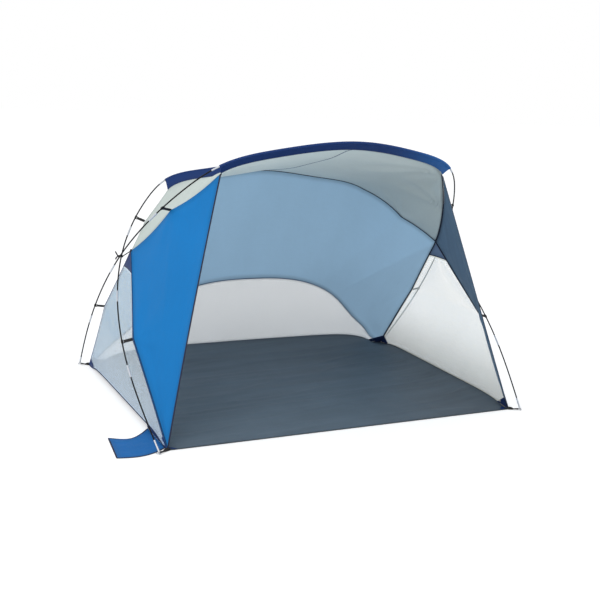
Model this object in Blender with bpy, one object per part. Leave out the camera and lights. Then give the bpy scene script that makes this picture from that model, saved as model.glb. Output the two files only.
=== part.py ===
# A two-pole beach tent: two crossed arch poles carry a cloth shell that hangs inside them.
# Metres, +Z up, +Y to the back. The origin is the middle of the floor's underside.
# "rear_pole" stands on the front feet and crosses over to the back, "front_pole" the other way.
import math

import bmesh
import bpy
import numpy as np

MM = 0.001

# The stance and the two arches, measured on the poles' axes
FRONT_FEET_APART = 2.40
REAR_FEET_APART = 2.47
FEET_DEPTH = 1.85
FRONT_ARCH_HEIGHT = 1.677
FRONT_ARCH_DEPTH = -0.715
REAR_ARCH_HEIGHT = 1.445
REAR_ARCH_DEPTH = 0.68
CROSS_APART = 2.32
CROSS_HEIGHT = 0.914
CROSS_DEPTH = 0.089
REAR_KNEE_BULGE = 0.089
FRONT_KNEE_BULGE = 0.042

# Where each arch runs between the foot and the crossing, and between the crossing and the top
REAR_KNEE_SHARE = 0.46
FRONT_KNEE_SHARE = 0.44
REAR_CROWN_SHARES = ((0.775, 0.59, 0.59), (0.61, 0.82, 0.82), (0.36, 0.92, 0.92))
FRONT_CROWN_SHARES = ((0.80, 0.58, 0.585), (0.625, 0.825, 0.825), (0.385, 0.93, 0.93))
CURVE_SAMPLES = 400

# Fibreglass pole sections, joined by steel ferrules on one elastic cord
SECTIONS = 11
ROD_RADIUS = 4.25 * MM
ROD_BORE_RADIUS = 2.3 * MM
FERRULE_RADIUS = 5.6 * MM
FERRULE_WALL = 0.75 * MM
FERRULE_HALF = 40 * MM
ROD_END_GAP = 0.25 * MM
TIP_START = 21 * MM
TIP_FERRULE = 75 * MM
PIN_SOCKET_RADIUS = 3.6 * MM
PIN_SOCKET_DEPTH = 56 * MM
POLE_SIDES = 8
STATION_STEP = 0.19
STRAIGHT_MARGIN = 5 * MM
CORD_RADIUS = 1.4 * MM
CORD_SIDES = 5
KNOT_RADIUS = 2.9 * MM
KNOT_LENGTH = 7 * MM

# Foot hardware: a pin in the pole's end, its eye, the ring and the sewn corner tab
PIN_RADIUS = 2.9 * MM
PIN_REACH = 44 * MM
PIN_POINT = 3 * MM
EYE_RADIUS = 4.6 * MM
WIRE_RADIUS = 1.75 * MM
EYE_HEIGHT = 7.4 * MM
RING_RADIUS = 14 * MM
RING_DROP = 0.3 * MM
RING_SEGMENTS = 20
RING_SIDES = 6
EYE_SEGMENTS = 12
TAB_REACH = 78 * MM
TAB_PATCH = 55 * MM
TAB_PATCH_MARGIN = 8 * MM
TAB_THICKNESS = 1.5 * MM

# Cloth, webbing and the clearances between pieces
CLOTH = 1.2 * MM
NET = 1.0 * MM
WEBBING_WIDTH = 20 * MM
WEBBING = 2.0 * MM
SEAM_GAP = 1.3 * MM
SIDE_SEAM_GAP = 0.8 * MM
FIT = 0.45 * MM
LAY_GAP = 0.3 * MM
PINCH_TRIM = 26 * MM

# Hook straps: a moulded hook snaps on the pole, its webbing is sewn into the seam
STRAP_REACH = 64 * MM
STRAP_SEAM_GAP = 2.2 * MM
HOOK_WALL = 2.4 * MM
HOOK_MOUTH = math.radians(84)
HOOK_STEPS = 8
BAND_STEPS = 6
HOOK_SECTION_SHARES = {
    "lower_front": (1, 0.38),
    "upper_rear": (3, 0.25),
    "lower_rear": (1, 0.27),
    "upper_front": (3, 0.17),
}
REAR_HOOKS = {"lower_front": (-0.83, -0.55, 0.0), "upper_rear": (-0.93, -0.27, -0.25)}
FRONT_HOOKS = {"lower_rear": (-0.98, -0.15, 0.0), "upper_front": (-0.99, 0.08, 0.0)}

# The cloth corner at the crossing and the tape that ties it there
CORNER_INBOARD = 56 * MM
CORNER_FORWARD = 32 * MM
CORNER_RISE = 38 * MM
TIE_WALL = 1.6 * MM
TIE_HEIGHT = 10 * MM
TIE_SLACK = 3 * MM

# Sleeves round the tops of the poles
FRONT_SLEEVE_LENGTH = 1.62
REAR_SLEEVE_LENGTH = 1.53
FRONT_SKIRT = 60 * MM
REAR_SKIRT = 70 * MM
FRONT_SKIRT_LEAN_SHARE = 0.45
REAR_SKIRT_LEAN_SHARE = 0.8
SLEEVE_CLEARANCE = 0.7 * MM
SLEEVE_BORE_RADIUS = FERRULE_RADIUS + SLEEVE_CLEARANCE
SLEEVE_WALL = 1.2 * MM
SLEEVE_SIDES = 12
SLEEVE_SHOULDER = math.radians(35)
SLEEVE_THROAT = math.radians(12)

# Floor, arched window, gusset and sand pocket
SIDE_LIFT = 28 * MM
REAR_LIFT = 88 * MM
REAR_BOW = 30 * MM
LIFT_BAND_SHARE = 0.30
LIFT_REST = TAB_PATCH + 2 * TAB_PATCH_MARGIN
LIFT_POWER = 8
WINDOW_RISE = 0.51
WINDOW_SHARES = (
    (0.94, -0.10),
    (0.885, 0.04),
    (0.785, 0.25),
    (0.69, 0.47),
    (0.60, 0.66),
    (0.46, 0.84),
    (0.32, 0.94),
    (0.16, 0.99),
)
GUSSET_DROP_FRONT = 170 * MM
GUSSET_DROP_REAR = 150 * MM
POCKET_WIDTH = 0.286
POCKET_LENGTH = 0.32
POCKET_THICKNESS = 5 * MM
POCKET_START = 45 * MM
POCKET_OUTLINE_SHARES = (
    (0.0, 0.0),
    (1.0, 0.0),
    (0.72, 0.28),
    (0.61, 0.48),
    (0.76, 0.88),
    (-0.19, 1.0),
    (-0.25, 0.63),
    (-0.23, 0.45),
    (-0.12, 0.18),
)

# How finely the cloth panels are divided
EDGE_STEPS = 3
LEAST_STATION_SHARE = 0.0005
PANEL_ROWS = 5
REAR_WINDOW_ROWS = 4
FLOOR_STEPS = (18, 14)

COLOURS = {
    "blue_cloth": (0.026, 0.216, 0.546, 1.0),
    "navy_cloth": (0.013, 0.046, 0.156, 1.0),
    "silver_cloth": (0.51, 0.60, 0.57, 1.0),
    "floor_cloth": (0.065, 0.102, 0.141, 1.0),
    "white_net": (0.62, 0.66, 0.70, 1.0),
    "black_webbing": (0.012, 0.012, 0.014, 1.0),
    "fibreglass": (0.010, 0.010, 0.011, 1.0),
    "steel": (0.62, 0.63, 0.65, 1.0),
    "elastic": (0.55, 0.55, 0.55, 1.0),
}
FINISHES = {"steel": (0.28, 1.0), "fibreglass": (0.35, 0.0)}
CLOTH_FINISH = (0.75, 0.0)


def clear_scene():
    for item in list(bpy.data.objects):
        bpy.data.objects.remove(item, do_unlink=True)


def material_for(name, finish):
    made = bpy.data.materials.new(name)
    made.use_nodes = True
    shader = made.node_tree.nodes["Principled BSDF"]
    roughness, metallic = FINISHES.get(finish, CLOTH_FINISH)
    shader.inputs["Base Color"].default_value = COLOURS[finish]
    shader.inputs["Roughness"].default_value = roughness
    shader.inputs["Metallic"].default_value = metallic
    made.diffuse_color = COLOURS[finish]
    return made


def add_piece(name, points, faces, finish, smooth=True):
    mesh = bpy.data.meshes.new(name)
    mesh.from_pydata([tuple(p) for p in points], [], faces)
    shape = bmesh.new()
    shape.from_mesh(mesh)
    bmesh.ops.recalc_face_normals(shape, faces=shape.faces)
    shape.to_mesh(mesh)
    shape.free()
    if smooth:
        mesh.shade_smooth()
        mesh.set_sharp_from_angle(angle=math.radians(40))
    piece = bpy.data.objects.new(name, mesh)
    piece.data.materials.append(material_for(name + "_finish", finish))
    bpy.context.scene.collection.objects.link(piece)
    return piece


def join_solid(piece, name, points, faces, finish):
    """Unites a second closed form with the piece; the second stays as a hidden guide."""
    other = add_piece(name, points, faces, finish)
    other.hide_render = True
    other.hide_viewport = False
    other.display_type = "WIRE"
    union = piece.modifiers.new(name, "BOOLEAN")
    union.operation = "UNION"
    union.solver = "EXACT"
    union.object = other


def unit(vector):
    return np.asarray(vector, float) / np.linalg.norm(vector)


def mirrored(point):
    return np.array([-point[0], point[1], point[2]])


def both_ways(right_half):
    """A symmetrical line from left to right, from its points between the middle and the right end."""
    left_half = [mirrored(p) for p in reversed(right_half[1:])]
    return np.array(left_half + list(right_half))


def smooth_curve(points, samples):
    """A natural cubic through the points, on their chord lengths."""
    points = np.asarray(points, float)
    steps = np.linalg.norm(np.diff(points, axis=0), axis=1)
    at = np.concatenate([[0.0], np.cumsum(steps)])
    count = len(points)
    system = np.eye(count)
    right = np.zeros((count, 3))
    for i in range(1, count - 1):
        system[i, i - 1 : i + 2] = (steps[i - 1], 2 * (steps[i - 1] + steps[i]), steps[i])
        slope_after = (points[i + 1] - points[i]) / steps[i]
        slope_before = (points[i] - points[i - 1]) / steps[i - 1]
        right[i] = 6 * (slope_after - slope_before)
    bend = np.linalg.solve(system, right)
    curve = []
    for place in np.linspace(0, at[-1], samples):
        i = min(max(int(np.searchsorted(at, place)) - 1, 0), count - 2)
        before = (at[i + 1] - place) / steps[i]
        after = 1 - before
        lift = (before**3 - before) * bend[i] + (after**3 - after) * bend[i + 1]
        curve.append(before * points[i] + after * points[i + 1] + lift * steps[i] ** 2 / 6)
    return np.array(curve)


class Path:
    """A line of straight runs that is read by the length along it."""

    def __init__(self, points):
        self.points = np.asarray(points, float)
        runs = np.linalg.norm(np.diff(self.points, axis=0), axis=1)
        self.at = np.concatenate([[0.0], np.cumsum(runs)])
        self.length = self.at[-1]
        middle = self.points[len(self.points) // 2]
        self.normal = unit(np.cross(self.points[-1] - self.points[0], middle - self.points[0]))

    def point(self, place):
        return np.array([np.interp(place, self.at, self.points[:, k]) for k in range(3)])

    def tangent(self, place):
        run = int(np.clip(np.searchsorted(self.at, place) - 1, 0, len(self.points) - 2))
        here = unit(self.points[run + 1] - self.points[run])
        nearest = int(np.argmin(np.abs(self.at - place)))
        if abs(self.at[nearest] - place) > LAY_GAP / 10 or nearest in (0, len(self.points) - 1):
            return here
        before = unit(self.points[nearest] - self.points[nearest - 1])
        after = unit(self.points[nearest + 1] - self.points[nearest])
        return unit(before + after)

    def frame(self, place):
        """Tangent, the direction into the arch, and the direction across its plane."""
        along = self.tangent(place)
        inward = unit(np.cross(along, self.normal))
        return along, inward, np.cross(along, inward)

    def between(self, start, end):
        """The path's own stations strictly between two places, in the order walked."""
        low, high = min(start, end), max(start, end)
        inside = [s for s in self.at if low + LAY_GAP < s < high - LAY_GAP]
        return inside if end > start else inside[::-1]


def arch_curve(foot, knee, cross, apex, crown_shares):
    """The whole arch through its right foot, knee, crossing, crown and apex."""
    crown = []
    for spread_share, travel_share, rise_share in crown_shares:
        depth = cross[1] + (apex[1] - cross[1]) * travel_share
        height = cross[2] + (apex[2] - cross[2]) * rise_share
        crown.append(np.array([cross[0] * spread_share, depth, height]))
    right_half = [apex] + crown[::-1] + [cross, knee, foot]
    return Path(smooth_curve(both_ways(right_half), CURVE_SAMPLES))


def pole_path(curve, sleeve_length, hook_names, cross):
    """The pole's line: straight through its ferrules, hooks and crossings, and divided between them."""
    pitch = (curve.length - 2 * TIP_START) / SECTIONS
    tip_end = TIP_START + TIP_FERRULE + STRAIGHT_MARGIN
    reach = FERRULE_HALF + STRAIGHT_MARGIN
    zones = [(0.0, tip_end), (curve.length - tip_end, curve.length)]
    for k in range(1, SECTIONS):
        joint = TIP_START + k * pitch
        zones += [(joint - reach, joint + reach)]
    half_hook = WEBBING_WIDTH / 2 + STRAIGHT_MARGIN / 2
    for name in hook_names:
        section, share = HOOK_SECTION_SHARES[name]
        place = TIP_START + (section + share) * pitch
        zones += [(place - half_hook, place + half_hook)]
        zones += [(curve.length - place - half_hook, curve.length - place + half_hook)]
    crossing = curve.at[int(np.argmin(np.linalg.norm(curve.points - cross, axis=1)))]
    for place in (crossing, curve.length - crossing):
        zones += [(place - 2 * TIE_HEIGHT, place + 2 * TIE_HEIGHT)]
    marks = [s for zone in zones for s in zone]
    marks += [(curve.length - sleeve_length) / 2, (curve.length + sleeve_length) / 2]
    kept = sorted(s for s in marks if not any(low < s < high for low, high in zones))
    places = [kept[0]]
    for place in kept[1:]:
        run = place - places[-1]
        if run < STRAIGHT_MARGIN / 2:
            continue
        pieces = max(1, math.ceil(run / STATION_STEP))
        places += [places[-1] + run * (k + 1) / pieces for k in range(pieces)]
    places[-1] = curve.length
    return Path([curve.point(s) for s in places])


def joint_places(path):
    pitch = (path.length - 2 * TIP_START) / SECTIONS
    return [TIP_START + k * pitch for k in range(SECTIONS + 1)]


def hook_place(path, name):
    section, share = HOOK_SECTION_SHARES[name]
    joints = joint_places(path)
    return joints[section] + share * (joints[section + 1] - joints[section])


def turned(path, profile, sides, hollow):
    """A profile of (length along the path, radius) turned round the path's line."""
    rings = []
    count = len(profile)
    for i in range(count if hollow else count - 1):
        (start, from_radius), (end, to_radius) = profile[i], profile[(i + 1) % count]
        rings.append((start, from_radius))
        for place in path.between(start, end):
            share = (place - start) / (end - start)
            rings.append((place, from_radius + share * (to_radius - from_radius)))
    if not hollow:
        rings.append(profile[-1])
    points = []
    for place, radius in rings:
        centre = path.point(place)
        _, inward, across = path.frame(place)
        for k in range(sides):
            turn = 2 * math.pi * k / sides
            points.append(centre + radius * (math.cos(turn) * inward + math.sin(turn) * across))
    faces = []
    for i in range(len(rings) if hollow else len(rings) - 1):
        j = (i + 1) % len(rings)
        for k in range(sides):
            n = (k + 1) % sides
            faces.append((i * sides + k, i * sides + n, j * sides + n, j * sides + k))
    if not hollow:
        faces.append(tuple(range(sides)))
        faces.append(tuple((len(rings) - 1) * sides + k for k in reversed(range(sides))))
    return points, faces


def pole_section(path, index, name):
    """One rod with the ferrule that is crimped on its far end, and a foot ferrule at an end of the pole."""
    joints = joint_places(path)
    start, end = joints[index], joints[index + 1]
    socket = FERRULE_RADIUS - FERRULE_WALL
    if index == 0:
        tip_end = start + TIP_FERRULE
        near = [(start, FERRULE_RADIUS), (tip_end, FERRULE_RADIUS), (tip_end, ROD_RADIUS)]
        bottom = start + PIN_SOCKET_DEPTH
        bore_near = [(bottom, ROD_BORE_RADIUS), (bottom, PIN_SOCKET_RADIUS), (start, PIN_SOCKET_RADIUS)]
    else:
        near = [(start + ROD_END_GAP, ROD_RADIUS)]
        bore_near = [(start + ROD_END_GAP, ROD_BORE_RADIUS)]
    if index == SECTIONS - 1:
        tip_end = end - TIP_FERRULE
        far = [(tip_end, ROD_RADIUS), (tip_end, FERRULE_RADIUS), (end, FERRULE_RADIUS)]
        bottom = end - PIN_SOCKET_DEPTH
        bore_far = [(end, PIN_SOCKET_RADIUS), (bottom, PIN_SOCKET_RADIUS), (bottom, ROD_BORE_RADIUS)]
    else:
        crimp, lip, rod_end = end - FERRULE_HALF, end + FERRULE_HALF, end - ROD_END_GAP
        far = [(crimp, ROD_RADIUS), (crimp, FERRULE_RADIUS), (lip, FERRULE_RADIUS)]
        bore_far = [(lip, socket), (rod_end, socket), (rod_end, ROD_BORE_RADIUS)]
    points, faces = turned(path, near + far + bore_far + bore_near, POLE_SIDES, True)
    return add_piece(name, points, faces, "fibreglass")


def elastic_cord(path, name):
    """The cord through all the sections, with a stopper knot in each foot ferrule."""
    near = TIP_START + PIN_SOCKET_DEPTH - LAY_GAP
    far = path.length - near
    knot = [(0, CORD_RADIUS), (KNOT_LENGTH / 4, KNOT_RADIUS), (KNOT_LENGTH * 3 / 4, KNOT_RADIUS)]
    near_knot = [(near - KNOT_LENGTH + s, r) for s, r in knot] + [(near, CORD_RADIUS)]
    far_knot = [(path.length - s, r) for s, r in reversed(near_knot)]
    points, faces = turned(path, near_knot + far_knot, CORD_SIDES, False)
    return add_piece(name, points, faces, "elastic")


def torus(centre, axis, start_direction, major, minor, segments, sides):
    axis = unit(axis)
    first = unit(start_direction - axis * np.dot(start_direction, axis))
    second = np.cross(axis, first)
    points = []
    for i in range(segments):
        turn = 2 * math.pi * i / segments
        outward = math.cos(turn) * first + math.sin(turn) * second
        for k in range(sides):
            roll = 2 * math.pi * k / sides
            reach = major + minor * math.cos(roll)
            points.append(centre + outward * reach + axis * minor * math.sin(roll))
    faces = []
    for i in range(segments):
        j = (i + 1) % segments
        for k in range(sides):
            n = (k + 1) % sides
            faces.append((i * sides + k, i * sides + n, j * sides + n, j * sides + k))
    return points, faces


def extruded(outline, origin, x_axis, y_axis, depth_axis, depth):
    """A flat outline pushed out evenly to both sides of its plane."""
    count = len(outline)
    points = []
    for side in (-0.5, 0.5):
        base = origin + depth_axis * depth * side
        points += [base + x_axis * x + y_axis * y for x, y in outline]
    faces = [tuple(range(count)), tuple(range(2 * count - 1, count - 1, -1))]
    for i in range(count):
        j = (i + 1) % count
        faces.append((i, j, count + j, count + i))
    return points, faces


def extruded_band(outer, inner, origin, x_axis, y_axis, depth_axis, depth):
    """A closed band between two outlines of equally many points, pushed out to both sides."""
    count = len(outer)
    points = []
    for side in (-0.5, 0.5):
        base = origin + depth_axis * depth * side
        for outline in (outer, inner):
            points += [base + x_axis * x + y_axis * y for x, y in outline]
    faces = []
    for i in range(count):
        j = (i + 1) % count
        faces.append((i, j, count + j, count + i))
        faces.append((2 * count + i, 3 * count + i, 3 * count + j, 2 * count + j))
        faces.append((i, 2 * count + i, 2 * count + j, j))
        faces.append((count + i, count + j, 3 * count + j, 3 * count + i))
    return points, faces


def stadium(half_length, half_height, steps):
    """An outline with round ends: half_length is to the ends, half_height the ends' radius."""
    straight = half_length - half_height
    outline = []
    for k in range(steps + 1):
        turn = math.pi * k / steps - math.pi / 2
        outline.append((straight + half_height * math.cos(turn), half_height * math.sin(turn)))
    return outline + [(-x, -y) for x, y in outline]


def foot_frame(path, at_start):
    """The ground point of a pole, its direction up the pole, and the place of the pin's eye."""
    end = 0.0 if at_start else path.length
    ground = path.point(end)
    upward = path.tangent(end) * (1 if at_start else -1)
    eye_along = EYE_HEIGHT / upward[2]
    return ground, upward, eye_along


def foot_pin(path, at_start, name):
    """A steel pin that stands in the foot ferrule, with the eye that its lower end is bent to."""
    ground, upward, eye_along = foot_frame(path, at_start)
    shaft = [
        (eye_along + EYE_RADIUS - WIRE_RADIUS / 2, PIN_RADIUS),
        (TIP_START + PIN_REACH - PIN_POINT, PIN_RADIUS),
        (TIP_START + PIN_REACH, PIN_RADIUS / 2),
    ]
    if not at_start:
        shaft = [(path.length - s, r) for s, r in shaft]
    points, faces = turned(path, shaft, POLE_SIDES, False)
    pin = add_piece(name, points, faces, "steel")
    eye_axis = np.cross(upward, (0, 0, 1))
    eye_centre = ground + upward * eye_along
    eye = torus(eye_centre, eye_axis, upward, EYE_RADIUS, WIRE_RADIUS, EYE_SEGMENTS, RING_SIDES)
    join_solid(pin, name + "_eye_guide", *eye, "steel")
    return pin


def ring_centre(path, at_start):
    ground, upward, eye_along = foot_frame(path, at_start)
    level = unit((upward[0], upward[1], 0))
    centre = ground + upward * eye_along + level * RING_RADIUS
    return centre - np.array([0, 0, RING_DROP])


def foot_ring(path, at_start, name):
    centre = ring_centre(path, at_start)
    up = np.array([0, 0, 1.0])
    first = np.array([1.0, 0, 0])
    points, faces = torus(centre, up, first, RING_RADIUS, WIRE_RADIUS, RING_SEGMENTS, RING_SIDES)
    return add_piece(name, points, faces, "steel")


def corner_tab(path, at_start, corner, along_front, along_side, name):
    """The corner patch that is sewn on the floor, with the webbing loop that holds the ring."""
    up = np.array([0, 0, 1.0])
    centre = ring_centre(path, at_start)
    outward = unit((centre[0] - corner[0], centre[1] - corner[1], 0))
    across = np.cross(up, outward)
    half_width = WEBBING_WIDTH / 2
    far_wire = RING_RADIUS + WIRE_RADIUS + FIT
    near_wire = math.sqrt((RING_RADIUS - WIRE_RADIUS) ** 2 - half_width**2) - FIT
    hole_height = WIRE_RADIUS + FIT
    hole_length = (far_wire - near_wire) / 2
    slot = centre - outward * (far_wire + near_wire) / 2
    inner = stadium(hole_length, hole_height, BAND_STEPS)
    outer = stadium(hole_length + TAB_THICKNESS, hole_height + TAB_THICKNESS, BAND_STEPS)
    points, faces = extruded_band(outer, inner, slot, outward, up, across, WEBBING_WIDTH)
    tab = add_piece(name, points, faces, "black_webbing")
    low = CLOTH + LAY_GAP
    run = np.dot(slot - corner, outward)
    inboard = -TAB_PATCH / 2
    eye_low = slot[2] - hole_height - TAB_THICKNESS
    strip = [
        (inboard, low),
        (TAB_PATCH_MARGIN, low),
        (run - hole_length, eye_low),
        (run, eye_low),
        (run, eye_low + TAB_THICKNESS * 3 / 4),
        (run - hole_length, eye_low + TAB_THICKNESS),
        (TAB_PATCH_MARGIN, low + TAB_THICKNESS),
        (inboard, low + TAB_THICKNESS),
    ]
    base = np.array([corner[0], corner[1], 0])
    points, faces = extruded(strip, base, outward, up, across, WEBBING_WIDTH)
    join_solid(tab, name + "_strip_guide", points, faces, "black_webbing")
    inset = base + (along_front + along_side) * TAB_PATCH_MARGIN
    sheet = [inset, inset + along_front * TAB_PATCH, inset + along_side * TAB_PATCH]
    points = [p + up * z for z in (low, low + TAB_THICKNESS * 2 / 3) for p in sheet]
    faces = [(0, 1, 2), (5, 4, 3), (0, 3, 4, 1), (1, 4, 5, 2), (2, 5, 3, 0)]
    join_solid(tab, name + "_patch_guide", points, faces, "navy_cloth")
    return tab


def hook_frame(path, name, directions):
    """The point on the right half of the pole where a hook sits, and the way its strap leaves."""
    place = path.length - hook_place(path, name)
    along = path.tangent(place)
    wanted = np.array(directions[name])
    outward = unit(wanted - along * np.dot(wanted, along))
    return path.point(place), along, outward


def hook_strap(centre, along, outward, name):
    """A moulded hook round the pole and its webbing strap, in one outline across the pole."""
    inside = ROD_RADIUS + FIT
    outside = inside + HOOK_WALL
    root = math.asin(WEBBING / 2 / outside)
    lip = math.pi - HOOK_MOUTH / 2
    turns = np.linspace(root, lip, HOOK_STEPS)
    upper = [(outside * math.cos(t), outside * math.sin(t)) for t in turns]
    bore = [(inside * math.cos(t), inside * math.sin(t)) for t in np.linspace(lip, -lip, 2 * HOOK_STEPS)]
    lower = [(x, -y) for x, y in reversed(upper)]
    end = STRAP_REACH - STRAP_SEAM_GAP
    outline = [(end, WEBBING / 2)] + upper + bore + lower + [(end, -WEBBING / 2)]
    side = np.cross(along, outward)
    points, faces = extruded(outline, centre, outward, side, along, WEBBING_WIDTH)
    return add_piece(name, points, faces, "black_webbing")


def cross_tie(cross, corner, name):
    """The tape round both poles where they cross, and its run up to the cloth corner."""
    up = np.array([0, 0, 1.0])
    side = 1 if cross[0] > 0 else -1
    out = np.array([side, 0.0, 0.0])
    back = np.array([0.0, 1.0, 0.0])
    half_across = 2 * ROD_RADIUS + TIE_SLACK + TIE_HEIGHT / 3
    half_along = ROD_RADIUS * 3 / 2 + TIE_HEIGHT
    inner = stadium(half_along, half_across, BAND_STEPS)
    outer = stadium(half_along + TIE_WALL, half_across + TIE_WALL, BAND_STEPS)
    points, faces = extruded_band(outer, inner, cross, back, out, up, TIE_HEIGHT)
    tie = add_piece(name, points, faces, "black_webbing")
    start = cross - out * (half_across + TIE_WALL / 2)
    run = corner - start
    along = unit(run)
    across = unit(np.cross(along, out))
    thin = np.cross(along, across)
    length = np.linalg.norm(run) - STRAP_SEAM_GAP
    width = TIE_HEIGHT * 2 / 3
    right_side = [(width / 2, -WEBBING / 2), (width / 2, WEBBING / 2)]
    strip = right_side + [(-x, -y) for x, y in right_side]
    middle = start + along * length / 2
    points, faces = extruded(strip, middle, across, thin, along, length)
    join_solid(tie, name + "_strip_guide", points, faces, "black_webbing")
    return tie


def sleeve_ends(path, length):
    return (path.length - length) / 2, (path.length + length) / 2


def skirt_lean(path, length, lean_share, place):
    """How far the skirt leans along the pole there: not at all at the top, outwards at the ends."""
    return lean_share * (place - path.length / 2) / (length / 2)


def sleeve(path, length, skirt, lean_share, name):
    """A cloth tube round the pole with a flat skirt down to the seam."""
    outside = SLEEVE_BORE_RADIUS + SLEEVE_WALL
    turns = list(np.linspace(SLEEVE_SHOULDER, 2 * math.pi - SLEEVE_SHOULDER, SLEEVE_SIDES - 2))
    outer = [(skirt, SLEEVE_WALL)]
    outer += [(outside * math.cos(t), outside * math.sin(t)) for t in turns]
    outer += [(skirt, -SLEEVE_WALL)]
    bore_turns = [SLEEVE_THROAT] + turns + [-SLEEVE_THROAT]
    inner = [(SLEEVE_BORE_RADIUS * math.cos(t), SLEEVE_BORE_RADIUS * math.sin(t)) for t in bore_turns]
    start, end = sleeve_ends(path, length)
    places = [start] + path.between(start, end) + [end]
    points = []
    for place in places:
        centre = path.point(place)
        along, inward, across = path.frame(place)
        lean = skirt_lean(path, length, lean_share, place)
        for x, y in outer + inner:
            hang = max(x - outside, 0)
            points.append(centre + inward * x + across * y + along * lean * hang)
    faces = []
    size = 2 * SLEEVE_SIDES
    for i in range(len(places) - 1):
        here, there = i * size, (i + 1) * size
        for k in range(SLEEVE_SIDES):
            n = (k + 1) % SLEEVE_SIDES
            faces.append((here + k, here + n, there + n, there + k))
            k_in, n_in = k + SLEEVE_SIDES, n + SLEEVE_SIDES
            faces.append((here + n_in, here + k_in, there + k_in, there + n_in))
    for base in (0, (len(places) - 1) * size):
        for k in range(SLEEVE_SIDES):
            n = (k + 1) % SLEEVE_SIDES
            faces.append((base + k, base + n, base + SLEEVE_SIDES + n, base + SLEEVE_SIDES + k))
    return add_piece(name, points, faces, "navy_cloth")


def mirrored_line(line):
    return np.array([mirrored(p) for p in line])


def seam(corners, steps):
    """A seam that runs straight from corner to corner."""
    line = [np.asarray(corners[0], float)]
    for start, end in zip(corners, corners[1:]):
        line += [start + (end - start) * (k + 1) / steps for k in range(steps)]
    return np.array(line)


def line_stations(line):
    """How far along the line each of its points lies, as a share of its length."""
    runs = np.linalg.norm(np.diff(line, axis=0), axis=1)
    return np.concatenate([[0.0], np.cumsum(runs)]) / np.sum(runs)


def read_at(line, stations, wanted):
    """The points of a line at the wanted shares of the way along it."""
    return np.array([[np.interp(share, stations, line[:, k]) for k in range(3)] for share in wanted])


def evenly(line, count):
    return read_at(line, line_stations(line), np.linspace(0, 1, count))


def trimmed(line, cut):
    """A line with a length cut off its start."""
    line = np.array(line)
    line[0] = line[0] + unit(line[1] - line[0]) * cut
    return line


def trimmed_both(line, cut):
    return trimmed(trimmed(line, cut)[::-1], cut)[::-1]


def ruled(first, second, rows):
    shares = np.linspace(0, 1, rows + 1)[:, None, None]
    return first[None] * (1 - shares) + second[None] * shares


def coons(bottom, top, left, right):
    """A patch between four edges: bottom and top run along the columns, left and right along the rows."""
    columns, rows = len(bottom), len(left)
    u = np.linspace(0, 1, columns)[None, :, None]
    v = np.linspace(0, 1, rows)[:, None, None]
    lengthwise = bottom[None] * (1 - v) + top[None] * v
    crosswise = left[:, None] * (1 - u) + right[:, None] * u
    corners = (bottom[0] * (1 - u) + bottom[-1] * u) * (1 - v) + (top[0] * (1 - u) + top[-1] * u) * v
    return lengthwise + crosswise - corners


def drawn_edge(edge, inside, gap):
    """An edge moved towards the inside of its panel, square to itself."""
    along = np.gradient(edge, axis=0)
    along /= np.linalg.norm(along, axis=1)[:, None]
    step = inside - edge
    step -= along * np.sum(step * along, axis=1)[:, None]
    return edge + step / np.linalg.norm(step, axis=1)[:, None] * gap


def drawn_in(grid, gap):
    """The grid with its four edges drawn in by the seam gap."""
    grid = grid.copy()
    for edge, inside in ((0, 1), (-1, -2)):
        grid[edge] = drawn_edge(grid[edge], grid[inside], gap)
    for edge, inside in ((0, 1), (-1, -2)):
        grid[:, edge] = drawn_edge(grid[:, edge], grid[:, inside], gap)
    return grid


def cloth_panel(grid, thickness, name, finish, gap=SEAM_GAP, laid=False):
    """A thin closed sheet on a grid of points; a laid one has the grid as its underside."""
    grid = drawn_in(grid, gap)
    rows, columns = grid.shape[:2]
    lengthwise = np.gradient(grid, axis=1)
    crosswise = np.gradient(grid, axis=0)
    normal = np.cross(lengthwise, crosswise)
    normal /= np.linalg.norm(normal, axis=2)[:, :, None]
    if laid:
        normal *= np.sign(normal[:, :, 2:])
    low, high = (0.0, thickness) if laid else (-thickness / 2, thickness / 2)
    points = list((grid + normal * high).reshape(-1, 3)) + list((grid + normal * low).reshape(-1, 3))
    under = rows * columns
    faces = []
    for r in range(rows - 1):
        for c in range(columns - 1):
            a, b = r * columns + c, (r + 1) * columns + c
            for first, second in ((a + 1, b + 1), (b + 1, b)):
                faces.append((a, first, second))
                faces.append((under + second, under + first, under + a))
    rim = list(range(columns))
    rim += [r * columns + columns - 1 for r in range(1, rows)]
    rim += [(rows - 1) * columns + c for c in range(columns - 2, -1, -1)]
    rim += [r * columns for r in range(rows - 2, 0, -1)]
    for a, b in zip(rim, rim[1:] + rim[:1]):
        faces.append((b, a, under + a, under + b))
    return add_piece(name, points, faces, finish)


def edge_stations(rest_share, steps):
    """Shares of the way across the floor, with one at the end of the flat stretch in each corner."""
    return np.concatenate([[0], np.linspace(rest_share, 1 - rest_share, steps - 1), [1]])


def swell(share, rest_share):
    """Nothing in the corners of the floor, rising steeply to one along the middle of an edge."""
    off_middle = min(abs(2 * share - 1) / (1 - 2 * rest_share), 1)
    return 1 - off_middle**LIFT_POWER


def edge_rise(share):
    """Nothing inside, rising to one at the edge, over the band that the walls pull up."""
    return max((share - (1 - LIFT_BAND_SHARE)) / LIFT_BAND_SHARE, 0) ** 2


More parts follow.
